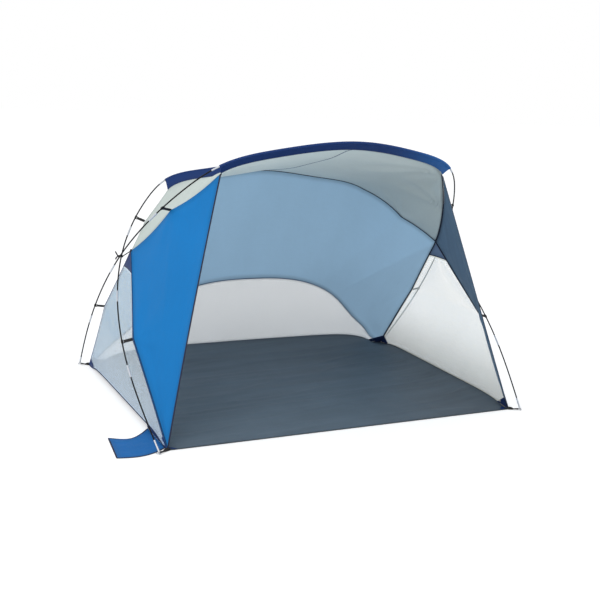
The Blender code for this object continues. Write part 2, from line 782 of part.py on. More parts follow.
def floor_grid(front_corner, rear_corner):
    """The floor's underside in rows from the front to the back, drawn up by the walls at its edges."""
    columns, rows = FLOOR_STEPS
    rest_across = LIFT_REST / (2 * rear_corner[0])
    rest_back = LIFT_REST / (rear_corner[1] - front_corner[1])
    grid = []
    for back in edge_stations(rest_back, rows):
        half = front_corner[0] + (rear_corner[0] - front_corner[0]) * back
        for share in edge_stations(rest_across, columns):
            across = 2 * share - 1
            bow = REAR_BOW * (1 - across * across)
            depth = front_corner[1] + (rear_corner[1] + bow - front_corner[1]) * back
            height = SIDE_LIFT * edge_rise(abs(across)) * swell(back, rest_back)
            height += REAR_LIFT * edge_rise(back) * swell(share, rest_across)
            grid.append((half * across, depth, height))
    return np.array(grid).reshape(rows + 1, columns + 1, 3)


def sleeve_seam(path, length, skirt, lean_share):
    """The seam under a sleeve, at the sleeve's own stations."""
    start, end = sleeve_ends(path, length)
    places = [start] + path.between(start, end) + [end]
    hang = skirt - SLEEVE_BORE_RADIUS - SLEEVE_WALL
    line = []
    for place in places:
        along, inward, _ = path.frame(place)
        lean = skirt_lean(path, length, lean_share, place)
        line.append(path.point(place) + inward * skirt + along * lean * hang)
    return np.array(line)


def shared_stations(first, second):
    """The stations of both lines in one list, where two that all but coincide become one."""
    merged = [0.0]
    for share in sorted(np.concatenate([first, second])):
        if LEAST_STATION_SHARE < share - merged[-1] and share < 1 - LEAST_STATION_SHARE:
            merged.append(share)
    return merged + [1.0]


def make_poles(rear_path, front_path):
    for path, name in ((rear_path, "rear_pole"), (front_path, "front_pole")):
        for index in range(SECTIONS):
            pole_section(path, index, f"{name}_section_{index + 1:02d}")
        elastic_cord(path, name + "_elastic_cord")


def make_feet(rear_path, front_path, front_corner, rear_corner):
    feet = (
        (rear_path, True, "front_left", mirrored(front_corner), 1, 1),
        (rear_path, False, "front_right", front_corner, -1, 1),
        (front_path, True, "rear_left", mirrored(rear_corner), 1, -1),
        (front_path, False, "rear_right", rear_corner, -1, -1),
    )
    for path, at_start, place, corner, inboard, inward in feet:
        foot_pin(path, at_start, "pin_" + place)
        foot_ring(path, at_start, "ring_" + place)
        along_front = np.array([inboard, 0.0, 0.0])
        along_side = np.array([0.0, inward, 0.0])
        corner_tab(path, at_start, corner, along_front, along_side, "corner_tab_" + place)


def make_hooks(rear_path, front_path):
    """The eight hook straps. It returns the cloth points on the right that they hold."""
    held = {}
    for path, directions in ((rear_path, REAR_HOOKS), (front_path, FRONT_HOOKS)):
        for name in directions:
            centre, along, outward = hook_frame(path, name, directions)
            held[name] = centre + outward * STRAP_REACH
            hook_strap(centre, along, outward, f"hook_strap_{name}_right")
            hook_strap(mirrored(centre), mirrored(along), mirrored(outward), f"hook_strap_{name}_left")
    return held


def whole_edge(arc, run):
    """A seam over the whole shell: an arc, with the same run on from each of its ends."""
    return np.concatenate([mirrored_line(run[::-1]), arc[1:-1], run])


def make_rear_wall(outer, floor_edge, top, rear_corner):
    """The rear wall with its arched window, between the roof and the floor's rear edge."""
    middle = floor_edge[len(floor_edge) // 2]
    rise = unit(top - middle) * WINDOW_RISE
    arch_right = [middle + rise]
    for spread_share, rise_share in reversed(WINDOW_SHARES):
        arch_right.append(middle + rise * rise_share + np.array([rear_corner[0] * spread_share, 0, 0]))
    arch_right.append(rear_corner + np.array([0, 0, CLOTH + LAY_GAP]))
    arch = evenly(smooth_curve(both_ways(arch_right), CURVE_SAMPLES), len(floor_edge))
    stations = shared_stations(line_stations(outer), line_stations(arch))
    wall_outer = trimmed_both(read_at(outer, line_stations(outer), stations), PINCH_TRIM)
    wall_inner = trimmed_both(read_at(arch, line_stations(arch), stations), PINCH_TRIM)
    cloth_panel(ruled(wall_outer, wall_inner, PANEL_ROWS), CLOTH, "rear_wall", "blue_cloth")
    net_low = trimmed_both(floor_edge, PINCH_TRIM * 3 / 2)
    net = ruled(trimmed_both(arch, PINCH_TRIM), net_low, REAR_WINDOW_ROWS)
    cloth_panel(net, NET, "rear_window", "white_net")


def make_side(side, held, corner, front_low, side_edge, rear_low, sleeve_end):
    """The wing, the side window and the gusset of one side; all points are those of the right side."""
    turn = np.array([-1, 1, 1]) if side == "left" else np.ones(3)
    back_seam = seam([front_low, held["lower_front"], corner], EDGE_STEPS + 2)
    free_edge = evenly(np.array([front_low, sleeve_end]), len(back_seam))
    back_seam = trimmed(back_seam, PINCH_TRIM)
    free_edge = trimmed(free_edge, PINCH_TRIM)
    top = seam([free_edge[-1], held["upper_front"], corner], EDGE_STEPS)
    low = evenly(np.array([free_edge[0], back_seam[0]]), len(top))
    wing = coons(free_edge, back_seam, low, top)
    cloth_panel(wing * turn, CLOTH, "side_wing_" + side, "blue_cloth", SIDE_SEAM_GAP)

    down_front = unit(held["lower_front"] - corner)
    down_rear = unit(held["lower_rear"] - corner)
    gusset_front = corner + down_front * GUSSET_DROP_FRONT
    gusset_rear = corner + down_rear * GUSSET_DROP_REAR
    over_tab = np.array([0, 0, TAB_THICKNESS + LAY_GAP])
    front_line = seam([gusset_front, held["lower_front"], front_low + over_tab], EDGE_STEPS + 1)
    rear_line = seam([gusset_rear, held["lower_rear"], rear_low + over_tab], EDGE_STEPS + 1)
    low = evenly(side_edge, PANEL_ROWS + 1)
    low[0], low[-1] = front_line[-1], rear_line[-1]
    window_top = evenly(np.array([gusset_front, gusset_rear]), PANEL_ROWS + 1)
    window = coons(front_line, rear_line, window_top, low)
    cloth_panel(window * turn, NET, "side_window_" + side, "white_net", SIDE_SEAM_GAP)

    front_side = evenly(np.array([corner + down_front * PINCH_TRIM, gusset_front]), EDGE_STEPS)
    rear_side = evenly(np.array([corner + down_rear * PINCH_TRIM, gusset_rear]), EDGE_STEPS)
    gusset = ruled(front_side, rear_side, 2)
    cloth_panel(gusset * turn, CLOTH, "window_gusset_" + side, "navy_cloth", SIDE_SEAM_GAP)


def make_shell(rear_path, front_path, held, corner, front_corner, rear_corner):
    """The roof, the walls, the windows and the floor of the shell."""
    front_arc = sleeve_seam(front_path, FRONT_SLEEVE_LENGTH, FRONT_SKIRT, FRONT_SKIRT_LEAN_SHARE)
    rear_arc = sleeve_seam(rear_path, REAR_SLEEVE_LENGTH, REAR_SKIRT, REAR_SKIRT_LEAN_SHARE)
    stations = shared_stations(line_stations(front_arc), line_stations(rear_arc))
    front_run = seam([front_arc[-1], held["upper_front"], corner], EDGE_STEPS)
    rear_run = seam([rear_arc[-1], held["upper_rear"], corner], EDGE_STEPS)
    front_edge = whole_edge(read_at(front_arc, line_stations(front_arc), stations), front_run)
    rear_edge = whole_edge(read_at(rear_arc, line_stations(rear_arc), stations), rear_run)
    roof = ruled(trimmed_both(front_edge, PINCH_TRIM), trimmed_both(rear_edge, PINCH_TRIM), PANEL_ROWS)
    cloth_panel(roof, CLOTH, "roof_panel", "silver_cloth")

    floor = floor_grid(front_corner, rear_corner)
    cloth_panel(floor, CLOTH, "floor_panel", "floor_cloth", laid=True)

    lie = np.array([0, 0, CLOTH + LAY_GAP])
    down_run = seam([rear_corner, held["lower_rear"], corner], EDGE_STEPS)
    outer = whole_edge(whole_edge(rear_arc, rear_run), down_run[::-1])
    rear_top = rear_arc[len(rear_arc) // 2]
    make_rear_wall(outer, floor[-1] + lie, rear_top, rear_corner)
    side_edge = floor[:, -1] + lie
    for side in ("left", "right"):
        make_side(side, held, corner, front_corner + lie, side_edge, rear_corner + lie, front_arc[-1])


def sand_pocket(front_corner, rear_corner):
    """The flap outside the left front corner that is weighed down with sand."""
    up = np.array([0, 0, 1.0])
    along = mirrored(unit(rear_corner - front_corner))
    outward = np.cross(up, along)
    outline = [(x * POCKET_LENGTH, y * POCKET_WIDTH) for x, y in POCKET_OUTLINE_SHARES]
    origin = mirrored(front_corner) + along * POCKET_START - outward * (SEAM_GAP - LAY_GAP)
    origin += up * POCKET_THICKNESS / 2
    points, faces = extruded(outline, origin, along, outward, up, POCKET_THICKNESS)
    return add_piece("sand_pocket", points, faces, "blue_cloth")


def main():
    clear_scene()
    step_aside = np.array([ROD_RADIUS + LAY_GAP, 0, 0])
    cross = np.array([CROSS_APART / 2, CROSS_DEPTH, CROSS_HEIGHT])
    front_foot = np.array([FRONT_FEET_APART / 2, -FEET_DEPTH / 2, 0])
    rear_foot = np.array([REAR_FEET_APART / 2, FEET_DEPTH / 2, 0])
    rear_apex = np.array([0, REAR_ARCH_DEPTH, REAR_ARCH_HEIGHT])
    front_apex = np.array([0, FRONT_ARCH_DEPTH, FRONT_ARCH_HEIGHT])
    rear_knee = front_foot + (cross - front_foot) * REAR_KNEE_SHARE + np.array([REAR_KNEE_BULGE, 0, 0])
    front_knee = rear_foot + (cross - rear_foot) * FRONT_KNEE_SHARE + np.array([FRONT_KNEE_BULGE, 0, 0])
    rear_curve = arch_curve(front_foot, rear_knee, cross - step_aside, rear_apex, REAR_CROWN_SHARES)
    front_curve = arch_curve(rear_foot, front_knee, cross + step_aside, front_apex, FRONT_CROWN_SHARES)
    rear_path = pole_path(rear_curve, REAR_SLEEVE_LENGTH, REAR_HOOKS, cross)
    front_path = pole_path(front_curve, FRONT_SLEEVE_LENGTH, FRONT_HOOKS, cross)
    print("pole lengths", round(rear_path.length, 3), round(front_path.length, 3))

    slant = TAB_REACH / math.sqrt(2)
    front_corner = front_foot + np.array([-slant, slant, 0])
    rear_corner = rear_foot + np.array([-slant, -slant, 0])
    corner = cross + np.array([-CORNER_INBOARD, -CORNER_FORWARD, CORNER_RISE])

    make_poles(rear_path, front_path)
    make_feet(rear_path, front_path, front_corner, rear_corner)
    held = make_hooks(rear_path, front_path)
    make_shell(rear_path, front_path, held, corner, front_corner, rear_corner)
    sleeve(front_path, FRONT_SLEEVE_LENGTH, FRONT_SKIRT, FRONT_SKIRT_LEAN_SHARE, "front_sleeve")
    sleeve(rear_path, REAR_SLEEVE_LENGTH, REAR_SKIRT, REAR_SKIRT_LEAN_SHARE, "rear_sleeve")
    cross_tie(cross, corner, "cross_tie_right")
    cross_tie(mirrored(cross), mirrored(corner), "cross_tie_left")
    sand_pocket(front_corner, rear_corner)


main()
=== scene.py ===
# A two-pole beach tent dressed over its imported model: cloth, nets, poles and fittings.
# Metres, +Z up, +Y to the back. Left and right are as seen from the open front.
import math

import bmesh
import bpy
import numpy as np
from mathutils import Matrix, Vector, noise


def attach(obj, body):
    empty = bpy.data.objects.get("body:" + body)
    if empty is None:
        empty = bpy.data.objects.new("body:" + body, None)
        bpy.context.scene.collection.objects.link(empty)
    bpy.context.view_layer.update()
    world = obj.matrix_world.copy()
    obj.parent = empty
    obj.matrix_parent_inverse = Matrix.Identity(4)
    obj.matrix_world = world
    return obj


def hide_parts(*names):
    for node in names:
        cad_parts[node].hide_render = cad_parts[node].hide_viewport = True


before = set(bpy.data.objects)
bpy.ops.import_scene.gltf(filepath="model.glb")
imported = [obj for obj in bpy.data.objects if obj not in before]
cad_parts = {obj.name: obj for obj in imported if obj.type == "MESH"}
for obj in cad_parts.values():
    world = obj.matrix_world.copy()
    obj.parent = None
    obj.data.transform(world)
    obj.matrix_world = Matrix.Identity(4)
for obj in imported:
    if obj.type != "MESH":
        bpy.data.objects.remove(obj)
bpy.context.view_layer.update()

bpy.ops.object.select_all(action="DESELECT")
print("frame loaded")

mm = 0.001
up = np.array([0.0, 0.0, 1.0])
middle = np.array([0.0, 0.0, 0.7])  # a point inside the tent that the inner faces look at
curveSamples = 400


# Lines and curves

def unit(vector):
    return np.asarray(vector, float) / np.linalg.norm(vector)


def unitRows(vectors):
    return vectors / np.linalg.norm(vectors, axis=1)[:, None]


def mirrored(points):
    return np.asarray(points, float) * np.array([-1.0, 1.0, 1.0])


def smoothCurve(points, samples):
    # a natural cubic through the points, on their chord lengths
    points = np.asarray(points, float)
    steps = np.linalg.norm(np.diff(points, axis=0), axis=1)
    at = np.concatenate([[0.0], np.cumsum(steps)])
    count = len(points)
    system = np.eye(count)
    right = np.zeros((count, 3))
    for i in range(1, count - 1):
        system[i, i - 1 : i + 2] = (steps[i - 1], 2 * (steps[i - 1] + steps[i]), steps[i])
        slopeAfter = (points[i + 1] - points[i]) / steps[i]
        slopeBefore = (points[i] - points[i - 1]) / steps[i - 1]
        right[i] = 6 * (slopeAfter - slopeBefore)
    bend = np.linalg.solve(system, right)
    curve = []
    for place in np.linspace(0, at[-1], samples):
        i = min(max(int(np.searchsorted(at, place)) - 1, 0), count - 2)
        before = (at[i + 1] - place) / steps[i]
        after = 1 - before
        lift = (before**3 - before) * bend[i] + (after**3 - after) * bend[i + 1]
        curve.append(before * points[i] + after * points[i + 1] + lift * steps[i] ** 2 / 6)
    return np.array(curve)


def wholeCurve(half):
    # a smooth curve through a line that starts at the tent's middle plane, and through its mirror image
    return smoothCurve([mirrored(p) for p in reversed(half[1:])] + half, curveSamples)


def lineShares(line):
    runs = np.linalg.norm(np.diff(line, axis=0), axis=1)
    return np.concatenate([[0.0], np.cumsum(runs)]) / np.sum(runs)


def lineLength(line):
    return np.sum(np.linalg.norm(np.diff(line, axis=0), axis=1))


def readAt(line, shares):
    line = np.asarray(line, float)
    at = lineShares(line)
    return np.stack([np.interp(shares, at, line[:, k]) for k in range(3)], axis=1)


def evenly(line, count):
    return readAt(line, np.linspace(0, 1, count))


def seamLine(corners, steps, bow=0.0, towards=None):
    # straight from corner to corner; a bow draws each run in a little, as taut cloth does
    line = [np.asarray(corners[0], float)]
    for start, end in zip(corners, corners[1:]):
        start, end = np.asarray(start, float), np.asarray(end, float)
        span = np.linalg.norm(end - start)
        pull = np.zeros(3)
        if towards is not None:
            pull = np.asarray(towards, float) - (start + end) / 2
            along = (end - start) / span
            pull = unit(pull - along * np.dot(pull, along))
        for k in range(steps):
            share = (k + 1) / steps
            line.append(start + (end - start) * share + pull * bow * span * 4 * share * (1 - share))
    return np.array(line)


class Arch:
    # a pole's middle line, read by the length along it
    def __init__(self, points):
        self.points = np.asarray(points, float)
        runs = np.linalg.norm(np.diff(self.points, axis=0), axis=1)
        self.at = np.concatenate([[0.0], np.cumsum(runs)])
        self.length = self.at[-1]
        top = self.points[len(self.points) // 2]
        self.normal = unit(np.cross(self.points[-1] - self.points[0], top - self.points[0]))

    def point(self, place):
        return np.array([np.interp(place, self.at, self.points[:, k]) for k in range(3)])

    def frame(self, place):
        reach = 3 * mm
        along = unit(self.point(min(place + reach, self.length)) - self.point(max(place - reach, 0)))
        inward = unit(np.cross(along, self.normal))
        return along, inward, np.cross(along, inward)


# Camera, light and floor

view = {"lens": 57.306, "place": (-2.63681, -5.61053, 1.94785), "turn": (77.70478, -2.49347, -24.87978)}
light = {"key": 150, "keyPlace": (-5.0, -4.6, 5.6), "keyAim": (0, 0, 0.6), "keySize": 4.5, "sky": 0.80,
         "skyColour": (0.97, 0.985, 1.0, 1), "floor": 0.80, "floorRough": 0.9, "floorGlow": 0.42,
         "floorSize": 120, "floorDrop": 0.4 * mm}


def setStage():
    bpy.ops.object.camera_add(location=view["place"], rotation=[math.radians(a) for a in view["turn"]])
    camera = bpy.context.object
    camera.data.lens = view["lens"]
    camera.data.sensor_width = 36
    camera.data.clip_end = 200
    bpy.context.scene.camera = camera
    place = Vector(light["keyPlace"])
    bpy.ops.object.light_add(type="AREA", location=place)
    key = bpy.context.object
    key.rotation_euler = (Vector(light["keyAim"]) - place).to_track_quat("-Z", "Y").to_euler()
    key.data.size = light["keySize"]
    key.data.energy = light["key"]
    bpy.context.scene.view_settings.view_transform = "Standard"

    world = bpy.data.worlds.new("paleSky")
    bpy.context.scene.world = world
    world.use_nodes = True
    tree = world.node_tree
    tree.nodes.clear()
    sky, white = tree.nodes.new("ShaderNodeBackground"), tree.nodes.new("ShaderNodeBackground")
    sky.inputs["Color"].default_value = light["skyColour"]
    sky.inputs["Strength"].default_value = light["sky"]
    white.inputs["Color"].default_value = (1, 1, 1, 1)
    mix = wired(tree, "ShaderNodeMixShader", seenDirectly(tree), sky.outputs[0], white.outputs[0])
    wired(tree, "ShaderNodeOutputWorld", mix.outputs[0])

    bpy.ops.mesh.primitive_plane_add(size=light["floorSize"], location=(0, 0, -light["floorDrop"]))
    ground = bpy.context.object
    ground.name = "paleFloor"
    made = bpy.data.materials.new("paleFloor")
    made.use_nodes = True
    tree = made.node_tree
    plain, glow = tree.nodes["Principled BSDF"], tree.nodes.new("ShaderNodeEmission")
    plain.inputs["Base Color"].default_value = (light["floor"],) * 3 + (1,)
    plain.inputs["Roughness"].default_value = light["floorRough"]
    glow.inputs["Strength"].default_value = light["floorGlow"]
    bright = wired(tree, "ShaderNodeAddShader", plain.outputs[0], glow.outputs[0])
    mix = wired(tree, "ShaderNodeMixShader", seenDirectly(tree), plain.outputs[0], bright.outputs[0])
    tree.links.new(mix.outputs[0], tree.nodes["Material Output"].inputs[0])
    ground.data.materials.append(made)


def wired(tree, kind, *sources):
    # a new node whose first inputs take these outputs
    made = tree.nodes.new(kind)
    for socket, source in zip(made.inputs, sources):
        tree.links.new(source, socket)
    return made


def seenDirectly(tree):
    # one where the camera sees the surface, straight, in a gloss or through something clear
    path = tree.nodes.new("ShaderNodeLightPath")
    total = path.outputs["Is Camera Ray"]
    for name in ("Is Glossy Ray", "Is Transmission Ray"):
        most = wired(tree, "ShaderNodeMath", total, path.outputs[name])
        most.operation = "MAXIMUM"
        total = most.outputs[0]
    return total


# Materials

class Wire:
    # a value in a material's nodes that can be used in sums
    def __init__(self, paint, socket):
        self.paint = paint
        self.socket = socket

    def sum(self, operation, *values):
        return self.paint.node("ShaderNodeMath", {"operation": operation}, dict(enumerate(values)))[0]

    def __add__(self, other):
        return self.sum("ADD", self, other)

    def __sub__(self, other):
        return self.sum("SUBTRACT", self, other)

    def __rsub__(self, other):
        return self.sum("SUBTRACT", other, self)

    def __mul__(self, other):
        return self.sum("MULTIPLY", self, other)

    __radd__ = __add__
    __rmul__ = __mul__

    def wave(self, pitch):
        return self.sum("SINE", self * (2 * math.pi / pitch))

    def size(self):
        return self.sum("ABSOLUTE", self)

    def above(self, edge, softness):
        # nought below the edge and one above it
        return self.paint.node("ShaderNodeMapRange", {"interpolation_type": "SMOOTHSTEP"},
                               {0: self, 1: edge - softness, 2: edge + softness, 3: 0.0, 4: 1.0})[0]


class Paint:
    # one material and the nodes that give it its finish
    def __init__(self, name, roughness, metallic=0.0):
        self.material = bpy.data.materials.new(name)
        self.material.use_nodes = True
        self.tree = self.material.node_tree
        self.shader = self.tree.nodes["Principled BSDF"]
        self.set("Roughness", roughness)
        self.set("Metallic", metallic)

    def node(self, kind, settings=None, values=None):
        made = self.tree.nodes.new(kind)
        for key, value in (settings or {}).items():
            setattr(made, key, value)
        for key, value in (values or {}).items():
            self.join(value, made.inputs[key])
        return [Wire(self, out) for out in made.outputs]

    def join(self, value, socket):
        if isinstance(value, Wire):
            self.tree.links.new(value.socket, socket)
        else:
            socket.default_value = value

    def set(self, name, value):
        self.join(value, self.shader.inputs[name])

    def mix(self, share, first, second):
        return self.node("ShaderNodeMix", {"data_type": "RGBA"}, {0: share, 6: first, 7: second})[2]

    def shade(self, colour, brightness):
        # the colour made brighter or darker by a value
        both = self.node("ShaderNodeCombineColor", None, {0: brightness, 1: brightness, 2: brightness})[0]
        return self.node("ShaderNodeMix", {"data_type": "RGBA", "blend_type": "MULTIPLY"},
                         {0: 1.0, 6: colour, 7: both})[2]

    def places(self):
        # metres along and across the piece, from its own map
        flat = self.node("ShaderNodeUVMap")[0]
        return self.node("ShaderNodeSeparateXYZ", None, {0: flat})[:2]

    def where(self):
        return self.node("ShaderNodeTexCoord")[3]

    def axes(self):
        return self.node("ShaderNodeSeparateXYZ", None, {0: self.where()})[:3]

    def nearSeam(self, band, softness):
        # one at the seams and nought beyond a band beside them
        return 1 - self.node("ShaderNodeAttribute", {"attribute_name": "fromSeam"})[2].above(band, softness)

    def vector(self, x, y, z=0.0):
        return self.node("ShaderNodeCombineXYZ", None, {0: x, 1: y, 2: z})[0]

    def cloud(self, vector, scale, detail=3.0, roughness=0.5):
        return self.node("ShaderNodeTexNoise", None,
                         {"Vector": vector, "Scale": scale, "Detail": detail, "Roughness": roughness})[0]

    def bump(self, height, strength):
        values = {"Strength": strength, "Distance": 1.0, "Height": height}
        self.set("Normal", self.node("ShaderNodeBump", None, values)[0])


def colour(red, green, blue):
    # a screen colour of 0 to 255 as the shader wants it
    linear = []
    for part in (red, green, blue):
        share = part / 255
        linear.append(share / 12.92 if share <= 0.04045 else ((share + 0.055) / 1.055) ** 2.4)
    return tuple(linear) + (1.0,)


def paler(face, gain, lift):
    return tuple(min(c * gain + lift, 1) for c in face[:3]) + (1,)


clothLooks = {
    # face colour, how much it varies, roughness, thread pitch, crease depth, light that comes through
    # and how much of that light is lost towards the right
    "blueOuter": (colour(12, 122, 194), 0.12, 0.62, 1.1 * mm, 1.0, 0.0, 0.0),
    "blueInner": (colour(144, 176, 201), 0.10, 0.70, 1.1 * mm, 1.0, 0.40, 0.06),
    # painted shade: the wings' inner face is the rear wall's inner cloth painted darker, for the shade it
    # hangs in
    "wingInnerShaded": (colour(92, 116, 140), 0.14, 0.70, 1.1 * mm, 1.0, 0.16, 0.2),
    "navyOuter": (colour(22, 54, 112), 0.16, 0.60, 1.1 * mm, 0.8, 0.0, 0.0),
    "navyInner": (colour(24, 42, 84), 0.14, 0.66, 1.1 * mm, 0.8, 0.05, 0.0),
    "silverOuter": (colour(203, 214, 209), 0.06, 0.55, 1.1 * mm, 1.0, 0.0, 0.0),
    "silverInner": (colour(196, 209, 210), 0.08, 0.62, 1.1 * mm, 1.0, 0.305, 0.78),
    "gussetInner": (colour(98, 118, 148), 0.12, 0.66, 1.1 * mm, 0.8, 0.18, 0.0),
    "floorInner": (colour(95, 110, 123), 0.18, 0.56, 1.5 * mm, 1.4, 0.0, 0.0),
    "floorOuter": (colour(60, 72, 82), 0.16, 0.70, 1.5 * mm, 1.0, 0.0, 0.0),
    "pocketCloth": (colour(22, 108, 180), 0.16, 0.62, 1.1 * mm, 1.4, 0.0, 0.0),
}
clothWear = {"broad": 2.3, "fine": 38.0, "rubAlong": 5.0, "rubAcross": 90.0, "seamBand": 0.022,
             "seamSoft": 0.020, "seamShade": 0.16, "weaveShade": 0.035, "creaseSize": 6.0,
             "crease": 2.2 * mm, "weave": 0.05 * mm, "gather": 1.2 * mm, "gatherAlong": 160.0,
             "gatherAcross": 14.0, "shine": 0.22, "broadTone": 1.6, "fineTone": 0.7, "rubTone": 0.6,
             "fineRough": 0.16, "seamRough": 0.05, "bump": 0.8}
daylit = {"base": 1.1, "slackAlong": 3.0, "slackAcross": 0.8, "slack": 0.35, "seam": 0.5, "fadeFrom": 0.2,
          "fadeSoft": 0.9}
# painted shade on the floor: fold bands, and darker towards the back and the right
floorPaintedShade = {"acrossX": 0.7, "acrossY": 0.5, "alongY": 8.0, "alongX": 0.9, "tone": 0.50, "backFrom": 0.3,
              "backSoft": 1.1, "backShade": 0.08, "rightFrom": 0.35, "rightSoft": 0.9, "rightShade": 0.25}
wingFoldShade = {"x": 6.0, "y": 16.0, "z": 0.9, "tone": 0.5}
sleeveGlow = {"right": 0.50, "rightSoft": 0.34, "high": 1.3, "highSoft": 0.1, "face": colour(34, 102, 174)}


def clothPaint(name):
    face, varies, roughness, pitch, creaseDepth, through, rightFade = clothLooks[name]
    wear = clothWear
    paint = Paint(name, roughness)
    along, across = paint.places()
    spot = paint.where()
    x, y, z = paint.axes()
    weave = along.wave(pitch) * across.wave(pitch)
    broad = paint.cloud(spot, wear["broad"], 2.0)
    fine = paint.cloud(spot, wear["fine"], 4.0, 0.6)
    rubbed = paint.cloud(paint.vector(along * wear["rubAlong"], across * wear["rubAcross"]), 1.0, 3.0, 0.55)
    nearSeam = paint.nearSeam(wear["seamBand"], wear["seamSoft"])
    tone = 1 + (broad - 0.5) * varies * wear["broadTone"] + (fine - 0.5) * varies * wear["fineTone"]
    tone = tone + weave * wear["weaveShade"]
    tone = tone + (rubbed - 0.5) * varies * wear["rubTone"] - nearSeam * wear["seamShade"]
    if name == "floorInner":
        # painted shade and highlight: long soft darker and lighter bands where the groundsheet was folded
        bands = floorPaintedShade
        place = paint.vector(x * bands["acrossX"] + y * bands["acrossY"],
                             y * bands["alongY"] - x * bands["alongX"])
        folds = paint.cloud(place, 1.0, 4.0, 0.6)
        tone = tone + (folds - 0.5) * bands["tone"]
        # painted shade: the floor darker towards the back and towards the right, away from the light
        tone = tone - y.above(bands["backFrom"], bands["backSoft"]) * bands["backShade"]
        tone = tone - x.above(bands["rightFrom"], bands["rightSoft"]) * bands["rightShade"]
    if name == "wingInnerShaded":
        # painted shade: upright darker and lighter streaks where the wing hangs in slack folds
        place = paint.vector(x * wingFoldShade["x"], y * wingFoldShade["y"], z * wingFoldShade["z"])
        tone = tone + (paint.cloud(place, 1.0, 3.0, 0.55) - 0.5) * wingFoldShade["tone"]
    if name == "navyOuter":
        # the sleeves catch more light at the top right
        glow = sleeveGlow
        lit = x.above(glow["right"], glow["rightSoft"]) * z.above(glow["high"], glow["highSoft"])
        face = paint.mix(lit, face, glow["face"])
    paint.set("Base Color", paint.shade(face, tone))
    paint.set("Specular IOR Level", wear["shine"])
    paint.set("Roughness", roughness + (fine - 0.5) * wear["fineRough"] - nearSeam * wear["seamRough"])
    if through:
        # thin cloth lets daylight in, less where it is doubled at a seam
        place = paint.vector(along * daylit["slackAlong"], across * daylit["slackAcross"])
        slack = paint.cloud(place, 1.0, 3.0, 0.6)
        daylight = daylit["base"] + (slack - 0.5) * daylit["slack"] - nearSeam * daylit["seam"]
        daylight = daylight - x.above(daylit["fadeFrom"], daylit["fadeSoft"]) * rightFade
        paint.set("Emission Color", paint.shade(face, daylight))
        paint.set("Emission Strength", through)
    crease = paint.cloud(spot, wear["creaseSize"], 5.0, 0.55)
    gathers = paint.cloud(paint.vector(along * wear["gatherAlong"], across * wear["gatherAcross"]), 1.0, 2.0)
    height = weave * wear["weave"] + crease * wear["crease"] * creaseDepth
    height = height + gathers * nearSeam * wear["gather"]
    paint.bump(height, wear["bump"])
    return paint.material


netLooks = {
    # thread colour, how solid the holes look, light that comes through,
    # and how much more solid and how much darker the net is low down, as painted shade
    # painted light and shade: the three are one net, each given its own colour, glow and shade for the light
    # where it hangs
    "rearNet": (colour(192, 198, 202), 0.27, 0.22, 0.16, 0.0),
    "sideNetOuter": (colour(196, 216, 238), 0.11, 0.36, 0.28, 0.0),
    "sideNetInner": (colour(233, 229, 209), 0.09, 0.27, 0.50, 0.58),
}
netWeave = {"pitch": 1.9 * mm, "hole": -0.55, "holeSoft": 0.5, "thread": 0.72, "seam": 0.55,
            "seamBand": 0.012, "seamSoft": 0.006, "lowEdge": 0.21, "lowSoft": 0.28, "broad": 3.1,
            "broadTone": 0.10, "holeShade": 0.06, "seamTone": 0.03, "threadHigh": 0.3 * mm, "uneven": 9.0,
            "unevenHigh": 1.2 * mm, "bump": 0.6}


def netPaint(name):
    face, holeCover, through, lowCover, lowShade = netLooks[name]
    pitch = netWeave["pitch"]
    paint = Paint(name, 0.75)
    along, across = paint.places()
    spot = paint.where()
    # hexagon-like holes: two crossed wave trains with every other row set over
    row = across.wave(pitch)
    slant = (along + across * 0.5).wave(pitch)
    other = (along - across * 0.5).wave(pitch)
    hole = (row + slant + other).above(netWeave["hole"], netWeave["holeSoft"])
    thread = 1 - hole
    nearSeam = paint.nearSeam(netWeave["seamBand"], netWeave["seamSoft"])
    # painted shade: the net is darker and more solid towards the floor
    low = 1 - paint.axes()[2].above(netWeave["lowEdge"], netWeave["lowSoft"])
    broad = paint.cloud(spot, netWeave["broad"], 2.0)
    tone = 1 + (broad - 0.5) * netWeave["broadTone"] - hole * netWeave["holeShade"]
    tone = tone + nearSeam * netWeave["seamTone"] - low * lowShade
    paint.set("Base Color", paint.shade(face, tone))
    cover = holeCover + thread * (netWeave["thread"] - holeCover)
    cover = cover + nearSeam * hole * (netWeave["seam"] - holeCover)
    paint.set("Alpha", cover + low * (1 - cover) * lowCover)
    paint.set("Emission Color", paint.shade(face, tone))
    paint.set("Emission Strength", through)
    uneven = paint.cloud(spot, netWeave["uneven"], 3.0)
    paint.bump(thread * netWeave["threadHigh"] + uneven * netWeave["unevenHigh"], netWeave["bump"])
    return paint.material


tapeLooks = {
    # colour, with a row of stitches at each edge or not, rib pitch
    "binding": (colour(10, 18, 48), True, 2.2 * mm),
    "outerBinding": (colour(16, 48, 98), True, 2.2 * mm),
    "paleBinding": (colour(92, 112, 140), True, 2.2 * mm),
    "webbing": (colour(16, 16, 19), True, 1.7 * mm),
    "tape": (colour(16, 16, 19), False, 1.3 * mm),
}
stitch = {"pitch": 6.4 * mm, "fromMiddle": 2.9 * mm, "half": 0.55 * mm, "soft": 0.2 * mm, "gapEdge": -0.1,
          "gapSoft": 0.25, "cover": 0.55, "high": 0.4 * mm}
tapeWear = {"slant": 1.5, "fine": 90.0, "ribTone": 0.16, "fineTone": 0.5, "ribHigh": 0.22 * mm,
            "fineHigh": 0.2 * mm, "rough": 0.78, "fineRough": 0.14, "bump": 0.8}


